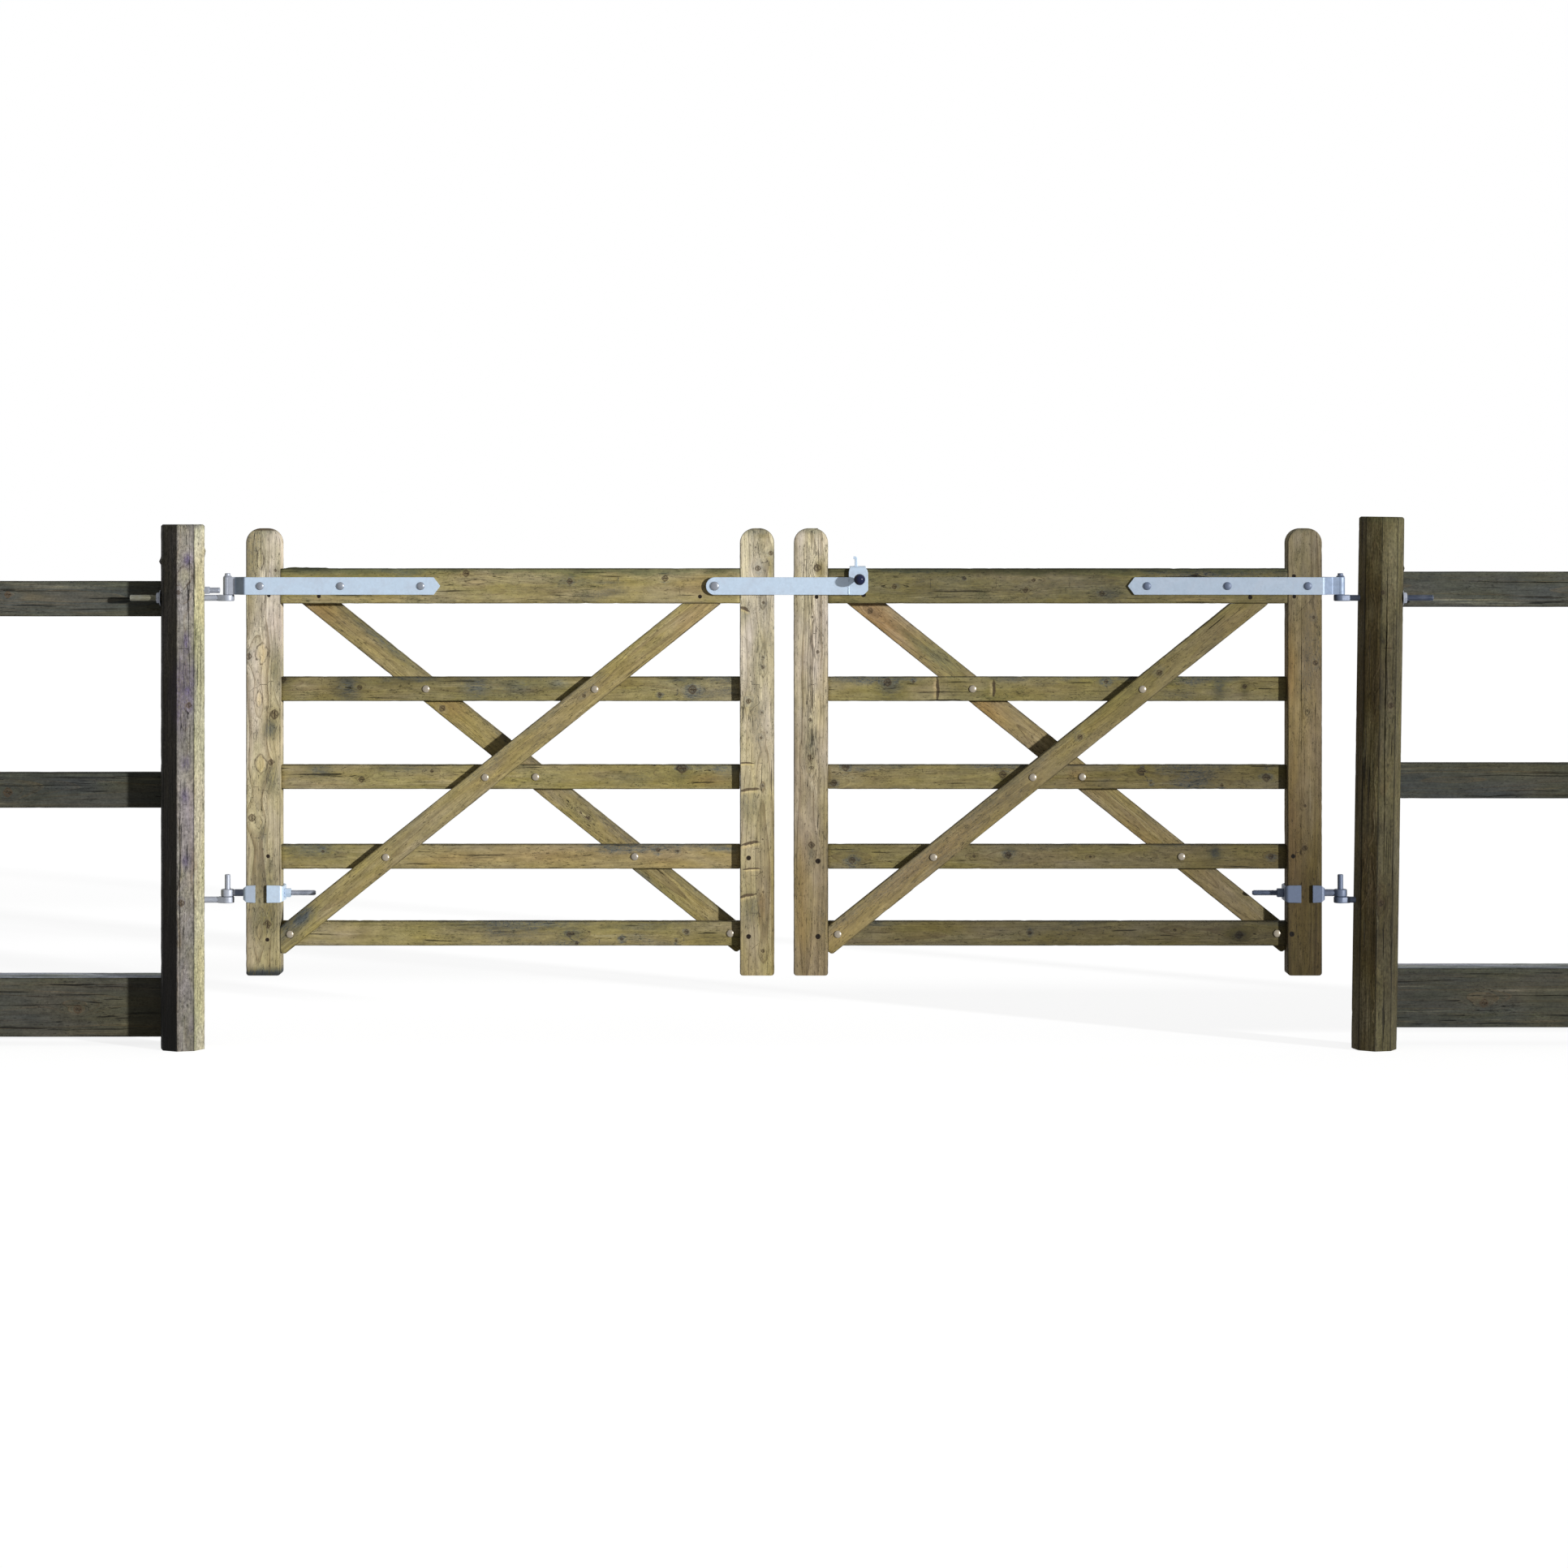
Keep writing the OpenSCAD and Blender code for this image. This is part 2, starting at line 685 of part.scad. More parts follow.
module latch_strap() {
    color(GALVANISED) translate([latch_x, latch_y + latch_t, latch_z]) rotate([90, 0, 0])
        linear_extrude(latch_t) difference() {
            latch_face();
            circle(d = band_bolt_d + running_play);
        }
}

// Section of the tongue across the gate, with its front on y = 0: an upright plate bent back level
module tongue_section() {
    bend = tongue_bend + latch_t;
    top = tongue_up + latch_t;
    translate([0, -latch_h / 2]) square([latch_t, top - bend + latch_h / 2]);
    translate([bend, tongue_up]) square([tongue_d - bend, latch_t]);
    translate([bend, top - bend]) intersection() {
        difference() {
            circle(r = bend);
            circle(r = tongue_bend);
        }
        translate([-bend, 0]) square(bend);
    }
}

// Front view of the tongue, from the strap's end: one lower corner is cut off
module tongue_face() {
    foot = -latch_h / 2;
    polygon([
        [0, foot], [tongue_w - tongue_cut, foot], [tongue_w, foot + tongue_cut],
        [tongue_w, tongue_up + latch_t], [0, tongue_up + latch_t],
    ]);
}

// Front view of the lug: a slim strip with its head bent over towards the strap
module lug_face() {
    translate([lug_in, tongue_up + latch_t / 2]) square([lug_w, lug_h + latch_t / 2]);
    translate([lug_in - lug_head, tongue_up + latch_t + lug_h - lug_head]) square([lug_w, lug_head]);
}

// Tongue welded to the end of the strap, reaching back over the right top rail
module latch_tongue() {
    bend = tongue_bend + latch_t;
    color(GALVANISED) translate([latch_x + latch_reach, latch_y, latch_z]) {
        intersection() {
            rotate([90, 0, 90]) linear_extrude(tongue_w) tongue_section();
            translate([0, tongue_d, 0]) rotate([90, 0, 0]) linear_extrude(tongue_d) tongue_face();
        }
        translate([0, bend + latch_t, 0]) rotate([90, 0, 0]) linear_extrude(latch_t) lug_face();
    }
}

// Ball knob on a short stem
module latch_knob() {
    color(KNOB) translate([latch_x + latch_reach + knob_in, latch_y, latch_z + knob_up]) {
        translate([0, -knob_out, 0]) sphere(d = knob_d);
        rod_y(stem_d, -knob_out, 0);
    }
}

// Pivot bolt with the spacer that holds the strap clear of the timber
module latch_bolt() {
    color(GALVANISED) translate([latch_x, 0, latch_z]) {
        coach_bolt(band_bolt_d, band_head_d, latch_y - rest_gap, half_t);
        rod_y(band_head_d, latch_y + latch_t + rest_gap, -half_t);
    }
}

module latch_hole() {
    translate([latch_x, 0, latch_z]) rod_y(band_bolt_d + bolt_play, -cut, cut);
}

// ---------- assembly ----------

left_post();
right_post();
left_leaf() top_hook(left_pin_x + post_w / 2 + hook_tail);  // left_top_hook
right_leaf() top_hook(right_post_at(top_arm_z) - right_pin_x + post_w / 2 + hook_tail);  // right_top_hook
left_leaf() bottom_hook(left_pin_x - post_w / 2 + driven_depth);  // left_bottom_hook
right_leaf() bottom_hook(right_post_at(bottom_arm_z) - right_pin_x - post_w / 2 + driven_depth);  // right_bottom_hook
left_hook_nuts();
right_hook_nuts();
mirror([1, 0, 0]) fence_panel(0, 0);  // left_fence_panel
translate([right_post_x, 0, 0]) fence_panel(right_fence_rise, right_post_lean);  // right_fence_panel
left_fence_post();
right_fence_post();

left_leaf() hanging_stile();  // left_hanging_stile
left_leaf() shutting_stile();  // left_shutting_stile
left_leaf() difference() {  // left_top_rail
    top_rail();
    latch_hole();
}
left_leaf() lower_rail(second_rail_z);  // left_second_rail
left_leaf() lower_rail(third_rail_z);  // left_third_rail
left_leaf() lower_rail(fourth_rail_z);  // left_fourth_rail
left_leaf() lower_rail(bottom_rail_z);  // left_bottom_rail
left_leaf() brace(-1, true);  // left_front_brace
left_leaf() brace(1, false);  // left_back_brace
left_leaf() top_band();  // left_top_band
left_leaf() band_bolts();  // left_band_bolts
left_leaf() bottom_eye();  // left_bottom_eye
left_leaf() stirrups();  // left_stirrups
left_leaf() brace_bolts(true);  // left_brace_bolts

right_leaf() hanging_stile();  // right_hanging_stile
right_leaf() shutting_stile();  // right_shutting_stile
right_leaf() top_rail();  // right_top_rail
right_leaf() lower_rail(second_rail_z);  // right_second_rail
right_leaf() lower_rail(third_rail_z);  // right_third_rail
right_leaf() lower_rail(fourth_rail_z);  // right_fourth_rail
right_leaf() lower_rail(bottom_rail_z);  // right_bottom_rail
right_leaf() brace(-1, false);  // right_front_brace
right_leaf() brace(1, true);  // right_back_brace
right_leaf() top_band();  // right_top_band
right_leaf() band_bolts();  // right_band_bolts
right_leaf() bottom_eye();  // right_bottom_eye
right_leaf() stirrups();  // right_stirrups
right_leaf() brace_bolts(false);  // right_brace_bolts

left_leaf() latch_bolt();
left_leaf() latch_strap();
left_leaf() latch_tongue();
left_leaf() latch_knob();
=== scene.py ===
import json
import math
import random
from types import SimpleNamespace

import bmesh
import bpy
import numpy as np
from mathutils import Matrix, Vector


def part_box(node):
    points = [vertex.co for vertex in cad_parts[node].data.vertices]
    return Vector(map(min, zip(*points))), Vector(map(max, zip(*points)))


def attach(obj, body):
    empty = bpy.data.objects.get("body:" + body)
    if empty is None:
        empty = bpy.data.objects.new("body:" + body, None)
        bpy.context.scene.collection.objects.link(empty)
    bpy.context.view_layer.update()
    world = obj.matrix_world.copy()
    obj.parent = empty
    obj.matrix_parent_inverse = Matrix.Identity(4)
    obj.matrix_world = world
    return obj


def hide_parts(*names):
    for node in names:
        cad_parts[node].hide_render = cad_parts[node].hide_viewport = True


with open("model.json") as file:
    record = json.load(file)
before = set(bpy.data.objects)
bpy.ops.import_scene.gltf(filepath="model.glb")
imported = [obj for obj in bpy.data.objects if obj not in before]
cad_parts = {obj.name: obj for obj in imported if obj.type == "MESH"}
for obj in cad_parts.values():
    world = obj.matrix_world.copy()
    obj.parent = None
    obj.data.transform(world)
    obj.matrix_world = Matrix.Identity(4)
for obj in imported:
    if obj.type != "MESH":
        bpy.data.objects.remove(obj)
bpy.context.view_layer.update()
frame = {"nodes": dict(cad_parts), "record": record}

bl_info = {
    "name": "Paddock Gate",
    "version": (1, 0, 0),
    "blender": (4, 5, 0),
    "location": "View3D > Sidebar > Gate",
    "description": "Dresses a pair of braced paddock gate leaves, their posts and fence",
    "category": "Object",
}

MM = 0.001
SLOT = {s["node"]: s["material_slot"] for s in frame["record"]["subparts"]}
BODY = {n: b for b, ns in frame["record"]["behaviour"]["bodies"].items() for n in ns}
SHARP = math.radians(50)  # edges that fold more than this stay crisp


# ---------- sizes and colours that a user would change ----------

def colour(name, text, value):
    return bpy.props.FloatVectorProperty(
        name=name, description=text, default=value, subtype="COLOR", size=3, min=0, max=1)


def size(name, text, value, low=0.0, high=1.0):
    return bpy.props.FloatProperty(
        name=name, description=text, default=value, min=low, max=high, unit="LENGTH")


def share(name, text, value):
    return bpy.props.FloatProperty(
        name=name, description=text, default=value, min=0, max=1, subtype="FACTOR")


class GateTimber(bpy.types.PropertyGroup):
    """Colours and wear of the leaves, posts and fence"""
    pale: colour("Pale timber", "Dry, bleached stiles", (0.52, 0.465, 0.355))
    olive: colour("Olive timber", "Rails and braces stained by their preservative", (0.258, 0.220, 0.080))
    warm: colour("Warm timber", "Patches that keep their orange heartwood", (0.310, 0.205, 0.085))
    moss: colour("Algae", "Green film on upper edges and damp faces", (0.105, 0.115, 0.052))
    late: colour("Late wood", "Dark lines of the growth rings", (0.140, 0.098, 0.048))
    knot: colour("Knots", "Heart of a knot", (0.068, 0.045, 0.026))
    post_pale: colour("Bleached post", "Planed chamfers of the gate posts", (0.36, 0.345, 0.225))
    post_grey: colour("Grey post", "Weathered face of the gate posts", (0.205, 0.190, 0.178))
    post_olive: colour("Olive post", "Weathered face of the brown posts", (0.190, 0.175, 0.085))
    post_brown: colour("Brown post", "Dark faces of the right gate post", (0.091, 0.066, 0.0245))
    # Partly the weathered fence's own colour, partly painted shade: the fence timber is made as dark as it looks
    # standing in shade
    fence: colour("Fence timber", "Rails and kick board", (0.068, 0.067, 0.048))
    fence_blue: colour("Damp fence timber", "Blue-grey stain along the lower edges", (0.045, 0.048, 0.047))
    # The kick boards' upper face: partly faded timber, partly painted sky light on a face that turns up
    lichen: colour("Bleached top", "Upper face of the kick boards", (0.80, 0.88, 0.96))
    mildew: colour("Mildew", "Blue-grey stain round knots and along upper edges", (0.112, 0.124, 0.120))
    scar: colour("Healed scars", "Pale lip where the bark closed over a branch", (0.56, 0.45, 0.22))
    violet: colour("Violet stain", "Bloom on the grey gate post", (0.120, 0.098, 0.160))
    arris: size("Arris", "Radius worn on the edges of the timber", 0.003, 0.001, 0.006)
    ragged: size("Ragged edge", "Depth of the splinters missing from an edge", 0.0018, 0, 0.004)


class GateSteel(bpy.types.PropertyGroup):
    """Finish of the hinges, bolts and latch"""
    zinc: colour("Zinc", "Galvanised straps in plain light", (0.49, 0.60, 0.725))
    # A darker copy of the straps' zinc, used on the right leaf's straps and on the left leaf's outer stirrup
    # flaps
    dull_strap: colour("Weathered zinc", "Straps of the leaf that faces the rain", (0.36, 0.435, 0.53))
    # The left hook's tail gets the khaki of low sunlight on zinc: painted sunlight
    pale_tail: colour("Pale tail", "Hook tail dusted with lichen", (0.235, 0.225, 0.160))
    dull_zinc: colour("Dull zinc", "Hooks, nuts and bolts", (0.36, 0.385, 0.445))
    # Shaded zinc is painted shade: a darker copy of the straps' zinc for the cranks, where they turn away from
    # the sun; the right leaf's band eye uses it too
    shaded: colour("Shaded zinc", "Cranks of the bands", (0.25, 0.315, 0.43))
    slate: colour("Slate zinc", "Hooks, bolts and stirrups of the darker leaf", (0.105, 0.135, 0.205))
    # Also painted shade: this dark zinc is put on the bottom eye bolts' necks, between their eyes and the
    # stirrups
    dark_zinc: colour("Stained zinc", "Tails and threads that stay wet", (0.085, 0.105, 0.155))
    head: colour("Bolt heads", "Domed heads, dulled by handling", (0.215, 0.235, 0.27))
    brown_head: colour("Brown bolt heads", "Heads of the brace bolts, stained by the timber",
                       (0.34, 0.295, 0.225))
    knob: colour("Knob", "Moulded ball of the latch", (0.010, 0.014, 0.045))
    pitch: size("Thread pitch", "Pitch of the hook and eye bolt threads", 0.0025, 0.001, 0.004)
    crank: size("Crank", "Run of a band's strap from its stile in to its eye", 0.033, 0.02, 0.036)
    point: size("Strap point", "Length of the pointed end of a strap", 0.018, 0.008, 0.03)
    pin: size("Pin", "Diameter of the hinge pins and eye bolt shanks", 0.0162, 0.012, 0.02)
    brace_head: size("Brace bolt head", "Width of a brace bolt's head", 0.0215, 0.016, 0.03)
    neck: size("Neck", "Diameter of an eye bolt's plain neck", 0.020, 0.017, 0.028)
    outer_waist: size("Outer waist", "Height of an outer stirrup where it meets the neck", 0.024, 0.02, 0.04)
    inner_waist: size("Inner waist", "Height of an inner stirrup where it meets the nut", 0.038, 0.03, 0.05)
    shank_nut: size("Eye bolt nut", "Width across the flats of an eye bolt's nut", 0.024, 0.02, 0.03)
    hook_nut: size("Hook nut", "Width across the flats of a hook's nut", 0.030, 0.026, 0.036)
    nut_depth: size("Hook nut depth", "Depth of a hook's nut", 0.0095, 0.006, 0.012)
    nose: size("Nose", "Length of a hook's nose from its pin to its arm", 0.027, 0.024, 0.034)
    tongue_cut: size("Tongue corner", "Size of the cut corner of the latch tongue", 0.014, 0.006, 0.02)
    lug: size("Lug", "Distance of the lug's middle from the tongue's weld", 0.021, 0.01, 0.04)


class GateStage(bpy.types.PropertyGroup):
    """Camera, lamps and floor"""
    distance: size("Distance", "From the camera to the front of the leaves", 10.5, 2, 40)
    eye: size("Eye height", "Height of the camera above the ground", 1.5, 0.2, 4)
    width: size("View width", "Width of the view at the front of the leaves", 4.451, 1, 20)
    middle: size("View height", "Height of the middle of the view", 0.756, 0, 4)
    sun_side: bpy.props.FloatProperty(
        name="Sun side", description="Angle of the sun to the right of the gate's front",
        default=math.radians(52), unit="ROTATION")
    sun_up: bpy.props.FloatProperty(
        name="Sun height", description="Angle of the sun above the horizon",
        default=math.radians(6), unit="ROTATION")
    sun: bpy.props.FloatProperty(name="Sun strength", description="Strength of the sun", default=4.35, min=0)
    fill: share("Fill", "Light of the white surroundings on matt surfaces", 0.20)
    floor_keep: share("Floor shadow", "How much of the floor's own shading shows", 0.5)


def timber():
    return bpy.context.scene.gate_timber


def steel():
    return bpy.context.scene.gate_steel


def stage():
    return bpy.context.scene.gate_stage


# ---------- shader nodes ----------

BLACK = (0.0, 0.0, 0.0)
WHITE = (1.0, 1.0, 1.0)
SOCKETS = {float: "NodeSocketFloat", tuple: "NodeSocketColor", Vector: "NodeSocketVector"}


class Value:
    """Output of a shader node. Arithmetic on it adds Math nodes"""

    def __init__(self, nodes, socket):
        self.nodes, self.socket = nodes, socket

    def math(self, operation, *others, clamp=False):
        return self.nodes.add("Math", self, *others, settings={"operation": operation, "use_clamp": clamp})

    def __add__(self, other):
        return self.math("ADD", other)

    def __sub__(self, other):
        return self.math("SUBTRACT", other)

    def __rsub__(self, other):
        return self.nodes.add("Math", other, self, settings={"operation": "SUBTRACT"})

    def __mul__(self, other):
        return self.math("MULTIPLY", other)

    def __truediv__(self, other):
        return self.math("DIVIDE", other)

    def __abs__(self):
        return self.math("ABSOLUTE")

    def root(self):
        return self.math("SQRT")

    def top(self, other):
        """The larger of two values"""
        return self.math("MAXIMUM", other)

    def plus(self, other):
        """Sum that stays between 0 and 1"""
        return self.math("ADD", other, clamp=True)

    def ramp(self, low, high, start=0.0, end=1.0, smooth=True):
        """Runs from start to end as the value goes from low to high, and stays there beyond them"""
        kind = "SMOOTHSTEP" if smooth else "LINEAR"
        return self.nodes.add("MapRange", self, low, high, start, end,
                              settings={"interpolation_type": kind, "clamp": True})


class Nodes:
    """Adds nodes to a shader tree. Inputs are numbers, colours, vectors or Values, in order or by name"""

    def __init__(self, tree):
        self.tree = tree

    def feed(self, sockets, *inputs, **named):
        for key, value in [*enumerate(inputs), *named.items()]:
            socket = sockets[key.replace("_", " ") if isinstance(key, str) else key]
            if isinstance(value, Value):
                self.tree.links.new(value.socket, socket)
            else:
                socket.default_value = (*value, 1.0) if socket.type == "RGBA" else value

    def add(self, kind, *inputs, out=0, settings=None, **named):
        node = self.tree.nodes.new("ShaderNode" + kind)
        for key, value in (settings or {}).items():
            setattr(node, key, value)
        self.feed(node.inputs, *inputs, **named)
        return Value(self, node.outputs[out])

    def split(self, vector):
        return [self.add("SeparateXYZ", vector, out=k) for k in range(3)]

    def scaled(self, vector, by):
        return self.add("VectorMath", vector, by, settings={"operation": "MULTIPLY"})

    def noise(self, vector, detail=2.0, rough=0.5, scale=1.0, shift=0.0):
        return self.add("TexNoise", settings={"noise_dimensions": "4D"},
                        Vector=vector, W=shift, Scale=scale, Detail=detail, Roughness=rough)

    def fibres(self, grain, along, across, detail=2.0, rough=0.5, shift=0.0):
        """Noise that is slow along the timber and quick across it"""
        return self.noise(self.scaled(grain, (along, across, across)), detail, rough, shift=shift)

    def mix(self, share, a, b, kind="MIX"):
        """Mixes two colours"""
        node = self.tree.nodes.new("ShaderNodeMix")
        node.data_type, node.blend_type = "RGBA", kind
        self.feed((node.inputs[0], *node.inputs[6:8]), share, a, b)
        return Value(self, node.outputs[2])

    def shaded(self, body, red, green=None, blue=None):
        """Darkens or tints a colour"""
        tint = self.add("CombineColor", red, red if green is None else green, red if blue is None else blue)
        return self.mix(1.0, body, tint, "MULTIPLY")

    def bump(self, height, strength, depth):
        return self.add("Bump", strength, Distance=depth, Height=height)

    def place(self, group, **inputs):
        """Puts a node group in, and returns its outputs by name"""
        node = self.tree.nodes.new("ShaderNodeGroup")
        node.node_tree = bpy.data.node_groups[group]
        self.feed(node.inputs, **inputs)
        return {socket.name.replace(" ", "_"): Value(self, socket) for socket in node.outputs}

    def end(self, kind, shader):
        """Sends a shader to the output of the material or the world"""
        self.feed(self.tree.nodes.new("ShaderNodeOutput" + kind).inputs, shader)


def new_group(name, **inputs):
    """Shader node group without outputs yet: its nodes, and its inputs, made from their defaults"""
    nodes = Nodes(bpy.data.node_groups.new(name, "ShaderNodeTree"))
    for label, default in inputs.items():
        socket = nodes.tree.interface.new_socket(
            label.replace("_", " "), in_out="INPUT", socket_type=SOCKETS[type(default)])
        socket.default_value = (*default, 1.0) if isinstance(default, tuple) else default
    sockets = nodes.tree.nodes.new("NodeGroupInput").outputs
    return nodes, SimpleNamespace(**{key: Value(nodes, sockets[key.replace("_", " ")]) for key in inputs})


def close_group(nodes, **outputs):
    """Gives a node group its outputs: Color is a colour, and the others are numbers"""
    for label in outputs:
        kind = SOCKETS[tuple] if label == "Color" else SOCKETS[float]
        nodes.tree.interface.new_socket(label.replace("_", " "), in_out="OUTPUT", socket_type=kind)
    nodes.feed(nodes.tree.nodes.new("NodeGroupOutput").inputs, **outputs)


def grain_group():
    """Growth rings, fibres, drying checks and knots from the timber's own coordinates.
    Grain is along, across and into the timber in metres; Knot is the offset from the nearest
    knot in knot radii, and that radius, below zero for the end of a dowel"""
    n, g = new_group("Softwood grain", Grain=Vector(), Knot=Vector(), Ring_width=0.005, Checks=0.5, Curl=0.01,
                     Ridged=0.0)
    along, across, into = n.split(g.Grain)
    knot_x, knot_y, knot_r = n.split(g.Knot)

    # The fibres part round a knot as water does round a stone
    wide = knot_x * 0.42
    tall = knot_y * knot_y
    dowel = knot_r.math("LESS_THAN", 0.0)
    branch = 1.0 - dowel
    reach = (wide * wide + tall).top(1.0) - 1.0
    push = (reach * -0.65).math("EXPONENT") * (knot_y * knot_r.top(0.0))
    bent = across - push
    line = n.add("CombineXYZ", along, bent, into)

    # The rings are circles round a pith that wanders; each is as dark and as wide as its year was
    wobble = (n.fibres(line, 6.0, 26.0, 2.5) - 0.5) * g.Curl
    sway = n.fibres(line, 1.1, 0.4, 0.0, shift=3.0) - 0.5
    dive = n.fibres(line, 1.5, 0.4, 0.0, shift=7.0) - 0.5
    ring_v = sway * 0.05 + bent + wobble
    ring_w = dive * 0.045 + into
    count = (ring_v * ring_v + ring_w * ring_w).root() / g.Ring_width
    count = n.add("TexNoise", settings={"noise_dimensions": "1D"}, W=count, Scale=0.55, Detail=1.0) * 2.2 + count
    ring = count.math("FRACT")
    strong = n.add("TexWhiteNoise", settings={"noise_dimensions": "1D"}, W=count.math("FLOOR"))
    late = (ring.ramp(0.35, 0.85) * 0.35).top(ring.ramp(0.74, 0.93)) * ring.ramp(1.0, 0.95)
    late = late * (strong * 0.9).plus(0.3)

    fine = n.fibres(line, 9.0, 420.0, 3.0)
    medium = n.fibres(line, 3.5, 130.0, 2.0, shift=2.0)
    streak = n.fibres(line, 1.8, 46.0, 2.0, shift=5.0)
    blotch = n.fibres(line, 4.5, 16.0, 4.0, 0.6, shift=9.0)
    furrow = n.fibres(line, 13.0, 210.0, 2.0, shift=17.0)
    split = n.fibres(line, 4.5, 150.0, 2.0, shift=11.0) - g.Checks.ramp(0.0, 1.0, 0.74, 0.60, smooth=False)
    check = split.ramp(0.0, 0.05) * n.fibres(line, 3.0, 24.0, 1.0, shift=13.0).ramp(0.44, 0.56)

    # A knot is a little pointed across the grain, ringed, and split by a star of short cracks
    ragged = (n.fibres(g.Grain, 90.0, 90.0) - 0.5) * 0.7
    distance = (knot_x * knot_x + tall).root()
    far = distance * 0.55 + ((abs(knot_x) + abs(knot_y)) * 0.40 + ragged)
    peg = distance.ramp(1.35, 1.10) * dowel
    rim = far.ramp(1.30, 1.0) * far.ramp(0.62, 0.92) * branch
    hoops = (far * 19.0).math("SINE").ramp(-0.6, 0.9, 0.0, 0.5)
    slit = abs(ragged * 0.5 + knot_y)
    cross = abs(knot_y * 0.8 + (knot_x + ragged))
    star = slit.ramp(0.20, 0.07).top(cross.ramp(0.16, 0.05) * 0.8) * far.ramp(0.85, 0.55)
    core = far.ramp(1.02, 0.88) * branch * star.top(hoops * 0.5 + 0.35)
    halo = far.ramp(4.2, 1.0) * (medium + streak).ramp(0.8, 1.15) * branch

    ridge = late * 0.4 + fine * 0.6 + streak * 1.6 + furrow * g.Ridged * 3.0
    # Furrow darkens the grooves and Crest lightens the crests of ridged stretches: partly dirt and faded wood,
    # partly painted shade and painted highlight
    close_group(
        n, Rings=late, Fibre=fine * 0.5 + medium * 0.5, Streak=streak, Blotch=blotch, Check=check.top(peg),
        Knot_core=core.top(peg), Knot_rim=rim, Halo=halo, Furrow=furrow.ramp(0.50, 0.40) * g.Ridged,
        Crest=furrow.ramp(0.55, 0.66) * g.Ridged, Height=ridge - check * 2.5 - star * 1.5)


def scar_group():
    """Branch scars. Scar is the offset from the nearest one in its own half sizes, and its kind: a dark
    cut across the grain with a pale lip below it, or a pale lens with a dark outline"""
    n, g = new_group("Branch scars", Scar=Vector(), Grain=Vector())
    x, y, kind = n.split(g.Scar)
    rough = n.fibres(g.Grain, 70.0, 90.0, 3.0, shift=31.0) - 0.5
    loose = n.fibres(g.Grain, 26.0, 40.0, 1.0, shift=39.0) - 0.5
    x = rough * 0.8 + x
    y = abs(rough * 0.5 + y)
    end = y.ramp(1.1, 0.35)
    bow = x + y * y * 0.35
    cut = (abs(bow) - end * 0.42).ramp(0.12, -0.12) * end.ramp(0.0, 0.3)
    band = bow.ramp(-1.6, -0.6) * bow.ramp(-0.2, -0.5) * end
    lens = x * x + (loose * 1.1 + y)
    outline = abs(lens - 1.0).ramp(0.26, 0.05) * rough.ramp(-0.16, 0.10, 0.15, 0.85)
    inside = lens.ramp(1.0, 0.4) * 0.45
    healed = kind.math("GREATER_THAN", 1.5)
    close_group(n, Line=healed * (outline - cut) + cut, Lip=healed * (inside - band) + band)


